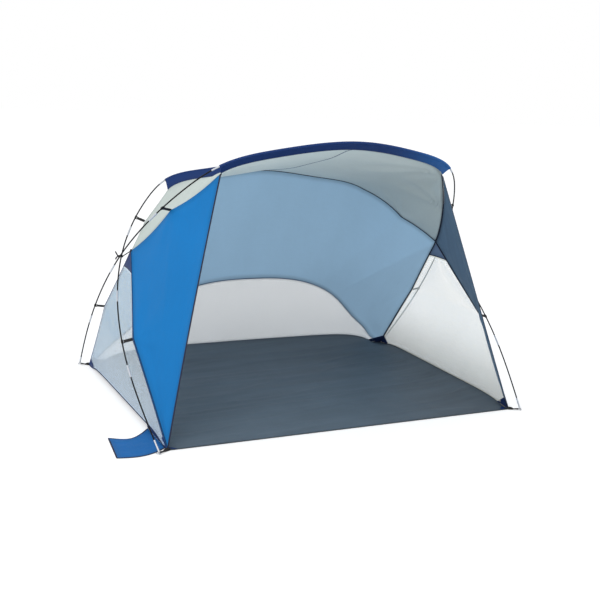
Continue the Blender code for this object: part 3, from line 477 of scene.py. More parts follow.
def tapePaint(name):
    # woven binding or webbing: slanting ribs and rows of stitches
    face, stitched, pitch = tapeLooks[name]
    paint = Paint(name, 0.72)
    along, across = paint.places()
    wear = tapeWear
    rib = along.wave(pitch) * 0.5 + (along + across * wear["slant"]).wave(pitch) * 0.5
    fine = paint.cloud(paint.where(), wear["fine"], 3.0)
    base = paint.shade(face, 1 + rib * wear["ribTone"] + (fine - 0.5) * wear["fineTone"])
    height = rib * wear["ribHigh"] + fine * wear["fineHigh"]
    if stitched:
        dash = along.wave(stitch["pitch"]).above(stitch["gapEdge"], stitch["gapSoft"])
        away = (across.size() - stitch["fromMiddle"]).size()
        thread = dash * (1 - away.above(stitch["half"], stitch["soft"]))
        base = paint.mix(thread * stitch["cover"], base, paler(face, 2.6, 0.012))
        height = height + thread * stitch["high"]
    paint.set("Base Color", base)
    paint.set("Roughness", wear["rough"] - fine * wear["fineRough"])
    paint.bump(height, wear["bump"])
    return paint.material


cordLooks = {"elastic": colour(190, 190, 188)}
cordWear = {"pitch": 1.6 * mm, "fine": 600.0, "braidTone": 0.2, "fineTone": 0.3, "rough": 0.78,
            "fineRough": 0.2, "braidHigh": 0.2 * mm, "fineHigh": 0.1 * mm, "bump": 0.7}


def cordPaint(name):
    # the braid of a round elastic, by its place in the part
    paint = Paint(name, 0.8)
    x, y, z = paint.axes()
    wear = cordWear
    braid = (x + y + z).wave(wear["pitch"]) * (x + y - z).wave(wear["pitch"])
    fine = paint.cloud(paint.where(), wear["fine"], 3.0)
    tone = 1 + braid * wear["braidTone"] + (fine - 0.5) * wear["fineTone"]
    paint.set("Base Color", paint.shade(cordLooks[name], tone))
    paint.set("Roughness", wear["rough"] + (fine - 0.5) * wear["fineRough"])
    paint.bump(braid * wear["braidHigh"] + fine * wear["fineHigh"], wear["bump"])
    return paint.material


hardLooks = {
    # colour, roughness, metal, coat, grain, length of the draw marks, scuffs, shine
    "rod": (colour(9, 9, 11), 0.5, 0.0, 0.0, 45.0, 12.0, 0.05, 0.2),
    "ferruleSteel": (colour(200, 203, 208), 0.36, 0.8, 0.0, 70.0, 9.0, 0.3, 0.5),
    "wire": (colour(168, 171, 176), 0.26, 1.0, 0.0, 80.0, 1.0, 0.3, 0.5),
    "hookPlastic": (colour(14, 14, 16), 0.5, 0.0, 0.02, 90.0, 1.0, 0.08, 0.3),
}
hardWear = {"fine": 8, "drawn": 6, "wornEdge": 0.62, "wornSoft": 0.06, "fineTone": 0.35, "drawnTone": 0.25,
            "fineRough": 0.14, "wornRough": 0.12, "fineHigh": 0.1 * mm, "drawnHigh": 0.08 * mm, "bump": 0.5}


def hardPaint(name):
    # rods, steel and moulded plastic: fine grain, draw marks and rubbed patches
    face, roughness, metallic, coat, grain, streak, scuff, shine = hardLooks[name]
    paint = Paint(name, roughness, metallic)
    spot = paint.where()
    x, y, z = paint.axes()
    wear = hardWear
    fine = paint.cloud(spot, grain * wear["fine"], 4.0, 0.6)
    marks = grain * wear["drawn"]
    drawn = paint.cloud(paint.vector(x * marks, y * marks, z * (marks / streak)), 1.0, 2.0)
    worn = paint.cloud(spot, grain, 5.0, 0.65).above(wear["wornEdge"], wear["wornSoft"])
    tone = 1 + (fine - 0.5) * wear["fineTone"] + (drawn - 0.5) * wear["drawnTone"]
    paint.set("Base Color", paint.mix(worn * scuff, paint.shade(face, tone), paler(face, 1.5, 0.02)))
    paint.set("Roughness", roughness + (fine - 0.5) * wear["fineRough"] + worn * wear["wornRough"])
    paint.set("Coat Weight", coat)
    paint.set("Specular IOR Level", shine)
    paint.bump(fine * wear["fineHigh"] + drawn * wear["drawnHigh"], wear["bump"])
    return paint.material


def makePaints():
    makers = ((clothPaint, clothLooks), (netPaint, netLooks), (tapePaint, tapeLooks), (hardPaint, hardLooks),
              (cordPaint, cordLooks))
    return {name: maker(name) for maker, looks in makers for name in looks}


def linked(name, data):
    made = bpy.data.objects.new(name, data)
    bpy.context.scene.collection.objects.link(made)
    return made


# Making meshes

def addObject(name, points, faces, finishes, faceFinish, places, smoothBelow=40):
    # a mesh with its finishes and its map in metres, smooth up to an angle
    mesh = bpy.data.meshes.new(name)
    mesh.from_pydata([tuple(map(float, p)) for p in points], [], [tuple(int(i) for i in f) for f in faces])
    for finish in finishes:
        mesh.materials.append(paints[finish])
    if faceFinish is not None:
        mesh.polygons.foreach_set("material_index", np.asarray(faceFinish, np.int32))
    layer = mesh.uv_layers.new(name="places")
    corners = np.empty(len(mesh.loops), np.int32)
    mesh.loops.foreach_get("vertex_index", corners)
    layer.data.foreach_set("uv", np.asarray(places, np.float32)[corners].ravel())
    mesh.shade_smooth()
    mesh.set_sharp_from_angle(angle=math.radians(smoothBelow))
    return linked(name, mesh)


def tellSeams(piece, distances):
    # how far each point lies from a seam, for the cloth's finish
    layer = piece.data.attributes.new("fromSeam", "FLOAT", "POINT")
    layer.data.foreach_set("value", np.asarray(distances, np.float32))


def settle(piece, slot, *nodes, body="root"):
    # the piece rides on its body and stands for its nodes
    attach(piece, body)
    if nodes:
        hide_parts(*nodes)
    return piece


def runsAlong(grid, axis):
    # metres from the first point of each column (0) or row (1)
    steps = np.cumsum(np.linalg.norm(np.diff(grid, axis=axis), axis=2), axis=axis)
    return np.concatenate([np.zeros_like(steps[:, :1] if axis else steps[:1]), steps], axis=axis)


def gridNormals(grid):
    normal = np.cross(np.gradient(grid, axis=1), np.gradient(grid, axis=0))
    size = np.linalg.norm(normal, axis=2)
    size[size < 1e-12] = 1
    return normal / size[:, :, None]


def gridPlaces(grid):
    # metres along each row from its middle, and down each column
    rowRun, columnRun = runsAlong(grid, 1), runsAlong(grid, 0)
    return rowRun - rowRun[:, -1:] / 2, columnRun


def fromSeams(grid):
    rowRun, columnRun = gridPlaces(grid)
    half = rowRun[:, -1:]
    sides = np.minimum(half - rowRun, half + rowRun)
    return np.minimum(sides, np.minimum(columnRun, columnRun[-1:] - columnRun))


def smoothStep(value):
    value = np.clip(value, 0, 1)
    return value * value * (3 - 2 * value)


seedSteps = (7.1, 3.7, 1.3)  # how far the noise moves for each seed, wave and seed again


def billow(grid, waves, seed, margin):
    # soft unevenness that fades out at the seams; each wave is (height, size in metres)
    normal = gridNormals(grid)
    fade = smoothStep(fromSeams(grid) / margin)
    shift = np.zeros(grid.shape[:2])
    for number, (height, size) in enumerate(waves):
        start = Vector([k * step for k, step in zip((seed, number, seed), seedSteps)])
        for r in range(grid.shape[0]):
            for c in range(grid.shape[1]):
                spot = Vector(grid[r, c]) / size + start
                shift[r, c] += height * noise.noise(spot)
    return grid + normal * (shift * fade)[:, :, None]


pullShape = {"fall": 1.6, "start": 0.25, "phase": 900}


def pulls(grid, anchors, margin):
    # creases that fan out from where a strap or a corner pulls: (point, depth, reach, number of creases)
    normal = gridNormals(grid)
    fade = smoothStep(fromSeams(grid) / margin)
    centre = grid.shape[0] // 2, grid.shape[1] // 2
    shift = np.zeros(grid.shape[:2])
    for point, depth, reach, count in anchors:
        away = grid - np.asarray(point, float)
        run = np.linalg.norm(away, axis=2)
        inner = unit(grid[centre] - np.asarray(point, float))
        side = unit(np.cross(normal[centre], inner))
        turn = np.arctan2(away @ side, away @ inner)
        share = run / reach
        started = np.clip(run / (pullShape["start"] * reach), 0, 1)
        swell = share * np.exp(1 - share * pullShape["fall"]) * started
        shift += depth * swell * np.cos(turn * count + depth * pullShape["phase"])
    return grid + normal * (shift * fade)[:, :, None]


def clothSolid(name, grid, thickness, outer, inner, laid=False):
    # a thin closed sheet on a grid of points, with its own outer and inner faces
    rows, columns = grid.shape[:2]
    normal = gridNormals(grid)
    outwards = np.sum(np.sum(normal * (grid - middle), axis=2)) >= 0
    if not outwards:
        normal = -normal
    low, high = (-thickness, 0.0) if laid else (-thickness / 2, thickness / 2)
    points = np.concatenate([(grid + normal * high).reshape(-1, 3), (grid + normal * low).reshape(-1, 3)])
    u, v = gridPlaces(grid)
    places = np.stack([u.ravel(), v.ravel()], axis=1)
    under = rows * columns
    faces, finish = [], []
    for r in range(rows - 1):
        for c in range(columns - 1):
            a, b = r * columns + c, (r + 1) * columns + c
            # one diagonal for both faces, or a warped square pushes one through the other
            for top in ((a, a + 1, b + 1), (a, b + 1, b)):
                bottom = tuple(under + k for k in top[::-1])
                faces += [top, bottom] if outwards else [top[::-1], bottom[::-1]]
                finish += [0, 1]
    rim = list(range(columns)) + [r * columns + columns - 1 for r in range(1, rows)]
    rim += [(rows - 1) * columns + c for c in range(columns - 2, -1, -1)]
    rim += [r * columns for r in range(rows - 2, 0, -1)]
    for a, b in zip(rim, rim[1:] + rim[:1]):
        side = (b, a, under + a, under + b)
        faces.append(side if outwards else side[::-1])
        finish.append(0)
    piece = addObject(name, points, faces, [outer, inner], finish, np.concatenate([places, places]))
    seamward = fromSeams(grid).ravel()
    tellSeams(piece, np.concatenate([seamward, seamward]))
    return piece


def sheetSize(grid):
    # width, length and area of a panel as it was cut
    rows = np.linalg.norm(np.diff(grid, axis=1), axis=2).sum(axis=1)
    columns = np.linalg.norm(np.diff(grid, axis=0), axis=2).sum(axis=0)
    first = np.cross(grid[:-1, 1:] - grid[:-1, :-1], grid[1:, :-1] - grid[:-1, :-1])
    second = np.cross(grid[1:, :-1] - grid[1:, 1:], grid[:-1, 1:] - grid[1:, 1:])
    area = (np.linalg.norm(first, axis=2).sum() + np.linalg.norm(second, axis=2).sum()) / 2
    return float(rows.max()), float(columns.max()), float(area)


def ruled(first, second, rows):
    shares = np.linspace(0, 1, rows + 1)[:, None, None]
    return first[None] * (1 - shares) + second[None] * shares


def coons(bottom, top, left, right):
    # a patch between four edges: bottom and top run along the columns, left and right along the rows
    u = lineShares(bottom)[None, :, None]
    v = lineShares(left)[:, None, None]
    lengthwise = bottom[None] * (1 - v) + top[None] * v
    crosswise = left[:, None] * (1 - u) + right[:, None] * u
    corners = (bottom[0] * (1 - u) + bottom[-1] * u) * (1 - v) + (top[0] * (1 - u) + top[-1] * u) * v
    return lengthwise + crosswise - corners


def drawnIn(grid, gap):
    # the four edges moved in by the seam gap
    grid = grid.copy()
    for table in (grid, grid.swapaxes(0, 1)):
        for edge, inside in ((0, 1), (-1, -2)):
            step = table[inside] - table[edge]
            table[edge] += step / (np.linalg.norm(step, axis=1)[:, None] + 1e-9) * gap
    return grid


def swept(name, line, section, finish, facing, closed=False):
    # a section of (across, out) points carried along a line; facing gives the way out at each point
    line = np.asarray(line, float)
    count, sides = len(line), len(section)
    if closed:
        along = unitRows(np.roll(line, -1, axis=0) - np.roll(line, 1, axis=0))
    else:
        along = unitRows(np.gradient(line, axis=0))
    out = np.broadcast_to(np.asarray(facing, float), line.shape)
    out = unitRows(out - along * np.sum(out * along, axis=1)[:, None])
    across = np.cross(out, along)
    run = lineShares(line) * lineLength(line)
    points = [line[i] + across[i] * x + out[i] * y for i in range(count) for x, y in section]
    places = [(run[i], x) for i in range(count) for x, y in section]
    faces = []
    for i in range(count if closed else count - 1):
        j = (i + 1) % count
        for k in range(sides):
            n = (k + 1) % sides
            faces.append((i * sides + k, i * sides + n, j * sides + n, j * sides + k))
    if not closed:
        faces.append(tuple(range(sides))[::-1])
        faces.append(tuple((count - 1) * sides + k for k in range(sides)))
    return addObject(name, points, faces, [finish], None, places, 60)


def flatOval(width, thickness, sides=10):
    turns = [2 * math.pi * k / sides for k in range(sides)]
    soft = 0.65
    return [(width / 2 * math.copysign(abs(math.cos(t)) ** soft, math.cos(t)),
             thickness / 2 * math.copysign(abs(math.sin(t)) ** soft, math.sin(t))) for t in turns]


def rightWay(piece):
    # all faces outwards, for a mesh that was swept, spun or mirrored
    shape = bmesh.new()
    shape.from_mesh(piece.data)
    bmesh.ops.recalc_face_normals(shape, faces=shape.faces)
    shape.to_mesh(piece.data)
    shape.free()
    return piece


def only(*pieces):
    bpy.ops.object.select_all(action="DESELECT")
    for piece in pieces:
        piece.select_set(True)
    bpy.context.view_layer.objects.active = pieces[0]


def applied(piece, kind, **settings):
    only(piece)
    modifier = piece.modifiers.new(kind.lower(), kind)
    for key, value in settings.items():
        setattr(modifier, key, value)
    bpy.ops.object.modifier_apply(modifier=modifier.name)
    return piece


def softened(piece, width, segments=2):
    return applied(piece, "BEVEL", width=width, segments=segments, limit_method="ANGLE",
                   angle_limit=math.radians(50))


def finished(piece, finish, angle=35):
    # smooth up to an angle and in one finish
    only(piece)
    bpy.ops.object.shade_smooth_by_angle(angle=math.radians(angle))
    piece.data.materials.clear()
    piece.data.materials.append(paints[finish])
    return piece


def added(primitive, name, **settings):
    # a new primitive with nothing else selected
    bpy.ops.object.select_all(action="DESELECT")
    primitive(**settings)
    piece = bpy.context.object
    piece.name = name
    return piece


def boredThrough(piece, axis, border, cuts=0):
    # a hole from one end of an axis to the other, with a border left round it; in edit mode
    bpy.ops.mesh.select_mode(type="FACE")
    bpy.ops.mesh.select_all(action="DESELECT")
    shape = bmesh.from_edit_mesh(piece.data)
    for face in shape.faces:
        face.select_set(abs(face.normal[axis]) > 0.9)
    bmesh.update_edit_mesh(piece.data)
    bpy.ops.mesh.inset(thickness=border)
    bpy.ops.mesh.bridge_edge_loops(number_cuts=cuts)
    bpy.ops.object.mode_set(mode="OBJECT")


def placed(master, name, matrix):
    # a copy of a master with its own mesh, set at its place
    copy = linked(name, master.data.copy())
    copy.data.name = name
    copy.data.transform(matrix)
    if matrix.determinant() < 0:
        copy.data.flip_normals()
    return copy


def thrownAway(*helpers):
    for helper in helpers:
        bpy.data.objects.remove(helper, do_unlink=True)


def basis(origin, x, y, z):
    return Matrix([*zip(x, y, z, origin), (0, 0, 0, 1)])


gatherLook = {"folds": 7, "fold": 0.10, "rough": 0.08, "grain": 2.4, "map": 0.06}


def gathered(name, centre, size, finish, seed):
    # cloth bunched and sewn where seams meet: a round lump drawn into folds
    lump = added(bpy.ops.mesh.primitive_uv_sphere_add, name, segments=28, ring_count=16, radius=1.0)
    for vertex in lump.data.vertices:
        turn = math.atan2(vertex.co.y, vertex.co.x)
        fold = gatherLook["fold"] * math.cos(turn * gatherLook["folds"] + seed)
        fold += gatherLook["rough"] * noise.noise(vertex.co * gatherLook["grain"] + Vector((seed, 0, 0)))
        vertex.co *= 1 + fold * (1 - vertex.co.z**2)
    lump.data.transform(basis(centre, *[axis * length for axis, length in size]))
    for spot in lump.data.uv_layers.active.data:
        spot.uv *= gatherLook["map"]
    return rightWay(finished(lump, finish, 60))


# The stance: where both arches run

stance = {
    "frontFeet": 2.40, "rearFeet": 2.47, "depth": 1.85,
    "frontTop": (0.0, -0.715, 1.677), "rearTop": (0.0, 0.68, 1.445), "cross": (1.16, 0.089, 0.914),
    "rearKnee": (0.46, 0.089), "frontKnee": (0.44, 0.042),
    "rearCrown": ((0.775, 0.59, 0.59), (0.61, 0.82, 0.82), (0.36, 0.92, 0.92)),
    "frontCrown": ((0.80, 0.58, 0.585), (0.625, 0.825, 0.825), (0.385, 0.93, 0.93)),
    "tabReach": 78 * mm, "cornerStep": (-56 * mm, -32 * mm, 38 * mm), "stepAside": 4.55 * mm,
}
poleKit = {"sections": 11, "tipStart": 21 * mm, "footFerrule": 75 * mm, "ferruleHalf": 40 * mm,
           "rod": 4.25 * mm, "rodBore": 2.3 * mm, "ferrule": 5.6 * mm, "socket": 4.85 * mm,
           "fit": 0.05 * mm, "endGap": 0.25 * mm, "sides": 20, "rodCuts": 30, "ferruleCuts": 24,
           "rodRound": 0.35 * mm, "ferruleRound": 0.3 * mm, "footRound": 0.4 * mm,
           "crimps": (9 * mm, 19 * mm), "crimpHalf": 4 * mm, "crimpDepth": 0.10}
cross = np.array(stance["cross"])
corner = cross + np.array(stance["cornerStep"])
frontFoot = np.array([stance["frontFeet"] / 2, -stance["depth"] / 2, 0])
rearFoot = np.array([stance["rearFeet"] / 2, stance["depth"] / 2, 0])
slant = stance["tabReach"] / math.sqrt(2)
frontCorner = frontFoot + np.array([-slant, slant, 0])
rearCorner = rearFoot + np.array([-slant, -slant, 0])


def archOf(which, foot, aside):
    kneeShare, bulge = stance[which + "Knee"]
    kneePoint = foot + (cross - foot) * kneeShare + np.array([bulge, 0, 0])
    passing = cross + np.array([aside, 0, 0])
    apex = np.array(stance[which + "Top"])
    crown = [np.array([passing[0] * spread, passing[1] + (apex[1] - passing[1]) * travel,
                       passing[2] + (apex[2] - passing[2]) * rise])
             for spread, travel, rise in stance[which + "Crown"]]
    return Arch(wholeCurve([apex] + crown[::-1] + [passing, kneePoint, foot]))


rearArch = archOf("rear", frontFoot, -stance["stepAside"])
frontArch = archOf("front", rearFoot, stance["stepAside"])

sleeveLooks = {
    # length, hang from the pole's middle to the seam, how far it leans outwards at the ends
    "front": (1.62, 60 * mm, 0.45),
    "rear": (1.53, 70 * mm, 0.80),
}
sleeveShape = {"bore": 6.3 * mm, "wall": 1.2 * mm, "around": 15, "steps": 150, "opening": 40, "skirtSteps": 9,
               "seam": 3 * mm, "throat": 1.35, "innerThroat": 0.35, "ripple": 0.7 * mm, "rippleSize": 26.0}


def sleevePlaces(arch, which, count):
    length = sleeveLooks[which][0]
    return np.linspace((arch.length - length) / 2, (arch.length + length) / 2, count)


def sleeveLine(arch, which, count):
    # the seam under the sleeve
    length, drop, lean = sleeveLooks[which]
    skirt = drop - sleeveShape["bore"] - sleeveShape["wall"]
    line = []
    for place in sleevePlaces(arch, which, count):
        along, inward, _ = arch.frame(place)
        slope = lean * (place - arch.length / 2) / (length / 2)
        line.append(arch.point(place) + inward * drop + along * slope * skirt)
    return np.array(line)


hooks = {
    # pole section and share of it, which way the strap leaves the pole
    "lower_front": (rearArch, 1, 0.38, (-0.83, -0.55, 0.0)),
    "upper_rear": (rearArch, 3, 0.25, (-0.93, -0.27, -0.25)),
    "lower_rear": (frontArch, 1, 0.27, (-0.98, -0.15, 0.0)),
    "upper_front": (frontArch, 3, 0.17, (-0.99, 0.08, 0.0)),
}
hookShape = {"reach": 64 * mm, "webWidth": 20 * mm, "web": 1.5 * mm, "wall": 2.4 * mm, "fit": 0.45 * mm,
             "mouth": 84, "steps": 18, "tip": 0.55, "round": 0.5 * mm, "barAt": 3.2 * mm, "barLong": 8.4 * mm,
             "barThick": 3.4 * mm, "barExtra": 4 * mm, "slotBorder": 2.2 * mm, "strapAt": 4.0 * mm,
             "strapEnd": 1.0 * mm}


def jointPlaces(arch):
    pitch = (arch.length - 2 * poleKit["tipStart"]) / poleKit["sections"]
    return [poleKit["tipStart"] + k * pitch for k in range(poleKit["sections"] + 1)]


def hookFrame(name):
    # where a hook holds its pole, the pole's direction and the way out to the cloth, on the right side
    arch, section, share, wanted = hooks[name]
    joints = jointPlaces(arch)
    place = arch.length - (joints[section] + share * (joints[1] - joints[0]))
    along = arch.frame(place)[0]
    outward = unit(np.array(wanted) - along * np.dot(wanted, along))
    return arch.point(place), along, outward


def strapEnd(name):
    place, _, outward = hookFrame(name)
    return place + outward * hookShape["reach"]


held = {name: strapEnd(name) for name in hooks}

setStage()
paints = makePaints()
print("stage and materials")


# The shell: roof, rear wall, windows, wings, gussets and floor

shell = {"cloth": 1.2 * mm, "net": 1.0 * mm, "gap": 1.3 * mm, "sideGap": 0.8 * mm, "pinch": 14 * mm,
         "lie": 1.5 * mm, "overTab": 1.8 * mm, "windowRise": 0.51, "trough": 30 * mm, "roofRows": 36,
         "wallRows": 34, "netRows": 30, "wallColumns": 220, "arcSteps": 96, "runSteps": 14}
bows = {"roofFront": 0.045, "roofRearLeft": 0.006, "roofRearRight": (0.10, 0.05), "downSeam": 0.004}
waves = {
    # soft unevenness: (height, size) of each wave, where it starts, and how far from a seam it fades
    "roof": (((6 * mm, 0.45), (2 * mm, 0.14)), 3, 0.08),
    "wall": (((7 * mm, 0.5), (2.2 * mm, 0.16)), 5, 0.08),
    "rearNet": (((5 * mm, 0.4), (1.6 * mm, 0.12)), 8, 0.06),
    "wing_left": (((5 * mm, 0.40), (1.6 * mm, 0.13)), 11, 0.06),
    "wing_right": (((5 * mm, 0.40), (1.6 * mm, 0.13)), 14, 0.06),
    "side_net_left": (((5 * mm, 0.35), (1.6 * mm, 0.11)), 17, 0.05),
    "side_net_right": (((5 * mm, 0.35), (1.6 * mm, 0.11)), 21, 0.05),
}
creases = {
    # depth, reach and number of the creases at a place, on the right and on the left
    "sleeveEnd": ((13 * mm, 0.34, 9), (7 * mm, 0.30, 9)),
    "upperFront": ((9 * mm, 0.26, 8), (5 * mm, 0.22, 8)),
    "upperRear": ((5 * mm, 0.22, 8), (5 * mm, 0.22, 8)),
    "wallTop": ((4 * mm, 0.25, 7), (4 * mm, 0.25, 7)),
    "wallFoot": ((5 * mm, 0.30, 9), (5 * mm, 0.30, 9)),
}
windowShares = ((0.94, -0.10), (0.885, 0.04), (0.785, 0.25), (0.69, 0.47), (0.60, 0.66), (0.46, 0.84),
                (0.32, 0.94), (0.16, 0.99))
floorLook = {"sideLift": 28 * mm, "rearLift": 88 * mm, "bow": 30 * mm, "band": 0.30, "rest": 71 * mm,
             "power": 8, "columns": 150, "rows": 120, "crease": 5.5 * mm, "creaseFade": 14, "above": 0.1 * mm,
             "hem": 2.0 * mm}
slackSide = np.array([1.5, 1.2, 1.7])  # the right end of the rear seam hangs a little out this way


def declared(piece, grid):
    width, length, area = sheetSize(grid)
    print("sheet", piece.name, round(width, 3), round(length, 3), round(area, 3))


def wholeEdge(arc, run, leftRun=None):
    left = run if leftRun is None else leftRun
    return np.concatenate([mirrored(left[::-1]), arc[1:-1], run])


def trimmed(line, cut):
    line = np.array(line, float)
    share = cut / lineLength(line)
    return readAt(line, share + lineShares(line) * (1 - 2 * share))


def floorHeight(across, back):
    # the floor's sides and back edge curve up between its corners, which rest on the ground
    restAcross = floorLook["rest"] / (2 * rearCorner[0])
    restBack = floorLook["rest"] / (rearCorner[1] - frontCorner[1])

    def swell(share, rest):
        return 1 - min(abs(2 * share - 1) / (1 - 2 * rest), 1) ** floorLook["power"]

    def rise(share):
        return max((share - (1 - floorLook["band"])) / floorLook["band"], 0) ** 2

    side = floorLook["sideLift"] * rise(abs(across)) * swell(back, restBack)
    return side + floorLook["rearLift"] * rise(back) * swell((across + 1) / 2, restAcross)


def floorPoint(across, back):
    half = frontCorner[0] + (rearCorner[0] - frontCorner[0]) * back
    bow = floorLook["bow"] * (1 - across * across)
    depth = frontCorner[1] + (rearCorner[1] + bow - frontCorner[1]) * back
    return np.array([half * across, depth, floorHeight(across, back)])


def floorEdge(across=None, back=None, count=60):
    if across is None:
        return np.array([floorPoint(a, back) for a in np.linspace(-1, 1, count)])
    return np.array([floorPoint(across, b) for b in np.linspace(0, 1, count)])


def floorGrid():
    rows, columns = floorLook["rows"], floorLook["columns"]
    grid = np.array([[floorPoint(a, b) for a in np.linspace(-1, 1, columns + 1)]
                     for b in np.linspace(0, 1, rows + 1)])
    for r in range(rows + 1):
        for c in range(columns + 1):
            x, y = grid[r, c, :2]
            edge = min(1 - abs(c / columns * 2 - 1), r / rows, 1 - r / rows)
            long = noise.noise(Vector((x * 1.1 + y * 0.9, y * 7.5 - x * 0.8, 3.1)))
            short = noise.noise(Vector((x * 6.0, y * 0.9 + 4.0, 9.7)))
            small = noise.noise(Vector((x * 4.0, y * 19.0, 1.7)))
            ridge = max(1 - abs(long) * 3.2, 0) ** 2 + 0.45 * max(1 - abs(short) * 4.5, 0) ** 2
            ridge += 0.35 * abs(small)
            grid[r, c, 2] += floorLook["crease"] * ridge * min(edge * floorLook["creaseFade"], 1)
    grid[:, :, 2] += shell["cloth"] + floorLook["above"]
    return grid


def addBead(name, line, width, thickness, finish, slot="navy_cloth", inwardBy=0.0):
    # a binding over a seam, facing the middle of the tent
    line = np.asarray(line, float)
    facing = unitRows(middle - line)
    along = unitRows(np.gradient(line, axis=0))
    facing = unitRows(facing - along * np.sum(facing * along, axis=1)[:, None])
    piece = swept(name, line + facing * inwardBy, flatOval(width, thickness), finish, facing)
    return settle(rightWay(piece), slot)


def onBothSides(point, place):
    right, left = creases[place]
    return [(point, *right), (mirrored(point), *left)]


def clothPiece(name, grid, slot, node, outer, inner, gap=shell["sideGap"], thickness=shell["cloth"],
               laid=False):
    piece = clothSolid(name, drawnIn(grid, gap), thickness, outer, inner, laid)
    return settle(piece, slot, node)


def makeShell():
    arcSteps, runSteps = shell["arcSteps"], shell["runSteps"]
    frontArc = sleeveLine(frontArch, "front", arcSteps + 1)
    rearArc = sleeveLine(rearArch, "rear", arcSteps + 1)
    upperRear = held["upper_rear"]
    frontRun = seamLine([frontArc[-1], held["upper_front"], corner], runSteps, bows["roofFront"], frontCorner)
    leftRun = seamLine([rearArc[-1], upperRear, corner], runSteps, bows["roofRearLeft"], middle)
    upperBow, lowerBow = bows["roofRearRight"]
    rightRun = np.concatenate([seamLine([rearArc[-1], upperRear], runSteps, upperBow, slackSide),
                               seamLine([upperRear, corner], runSteps, lowerBow, slackSide)[1:]])
    rearEdge = wholeEdge(rearArc, rightRun, leftRun)
    makeRoof(wholeEdge(frontArc, frontRun), rearEdge, frontArc[-1])

    floor = floorGrid()
    piece = clothPiece("floor", floor, "floor_cloth", "floor_panel", "floorOuter", "floorInner", shell["gap"],
                       laid=True)
    declared(piece, floor)

    lie = up * shell["lie"]
    backEdge = floorEdge(back=1.0, count=121) + lie
    sideEdge = floorEdge(across=1.0, count=61) + lie
    downRear = seamLine([corner, held["lower_rear"], rearCorner], runSteps, bows["downSeam"], middle)
    downFront = seamLine([corner, held["lower_front"], frontCorner + lie], runSteps, bows["downSeam"], middle)
    arch = windowArch(backEdge, rearArc[len(rearArc) // 2])
    makeRearWall(wholeEdge(rearEdge, downRear), arch, downRear, backEdge, lie)

    addBead("arch_window_binding", trimmed(arch, 20 * mm), 9 * mm, 3.0 * mm, "paleBinding", "blue_cloth",
            0.6 * mm)
    addBead("rear_roof_seam", trimmed(rearEdge, 6 * mm), 8 * mm, 3.2 * mm, "binding", inwardBy=2.0 * mm)
    addBead("floor_rear_seam", trimmed(backEdge, 30 * mm), 8 * mm, 3.0 * mm, "binding", inwardBy=0.5 * mm)
    frontHem = floorEdge(back=0.0, count=90) + up * floorLook["hem"]
    addBead("floor_front_hem", trimmed(frontHem, 4 * mm), 12 * mm, 2.6 * mm, "floorOuter", "floor_cloth")
    for side in ("left", "right"):
        makeSide(side, frontArc[-1], frontRun, downFront, downRear, sideEdge, lie)


def makeRoof(frontEdge, rearEdge, sleeveEnd):
    roof = ruled(trimmed(frontEdge, shell["pinch"]), trimmed(rearEdge, shell["pinch"]), shell["roofRows"])
    # the roof hangs in a shallow trough between the arches
    v = np.linspace(0, 1, roof.shape[0])[:, None]
    u = np.linspace(-1, 1, roof.shape[1])[None, :]
    roof[:, :, 2] -= shell["trough"] * 4 * v * (1 - v) * (1 - np.abs(u) ** 3)
    anchors = onBothSides(sleeveEnd, "sleeveEnd") + onBothSides(held["upper_front"], "upperFront")
    roof = pulls(roof, anchors + onBothSides(held["upper_rear"], "upperRear"), 0.03)
    roof = billow(roof, *waves["roof"])
    piece = clothPiece("roof", roof, "silver_cloth", "roof_panel", "silverOuter", "silverInner", shell["gap"])
    centre = roof[:, roof.shape[1] // 2]
    ridge = addBead("roof_ridge_seam", centre, 7 * mm, 2.0 * mm, "paleBinding", "silver_cloth", 1.2 * mm)
    declared(piece, roof)


def makeRearWall(outer, arch, downRear, backEdge, lie):
    # a band of cloth from the roof's seam to the arch, and the net under the arch
    pinch, run = shell["pinch"], shell["runSteps"]
    kinks = lineShares(outer)[[k * run for k in range(5)]]
    columns = np.linspace(0, 1, shell["wallColumns"])
    shares = np.unique(np.round(np.concatenate([columns, kinks, 1 - kinks]), 5))
    archLine = trimmed(readAt(arch, shares), pinch)
    wall = ruled(trimmed(readAt(outer, shares), pinch), archLine, shell["wallRows"])
    wall = pulls(wall, onBothSides(corner, "wallTop") + onBothSides(rearCorner, "wallFoot"), 0.012)
    wall = billow(wall, *waves["wall"])
    piece = clothPiece("rear_wall_cloth", wall, "blue_cloth", "rear_wall", "blueOuter", "blueInner",
                       shell["gap"])
    patches = []
    for side in ("left", "right"):
        patches += cornerPatch(side, "wall", rearCorner + lie, downRear[::-1], backEdge[::-1])
    declared(piece, wall)
    net = ruled(archLine, trimmed(readAt(backEdge, shares), pinch * 1.5), shell["netRows"])
    net = billow(net, *waves["rearNet"])
    piece = clothPiece("rear_net", net, "white_net", "rear_window", "rearNet", "rearNet", shell["gap"],
                       shell["net"])
    declared(piece, net)


def windowArch(backEdge, top):
    # the arched seam between the rear wall and its net, from floor corner to floor corner
    base = backEdge[len(backEdge) // 2]
    rise = unit(top - base) * shell["windowRise"]
    half = [base + rise]
    for spread, height in reversed(windowShares):
        half.append(base + rise * height + np.array([rearCorner[0] * spread, 0, 0]))
    return wholeCurve(half + [rearCorner + up * shell["lie"]])


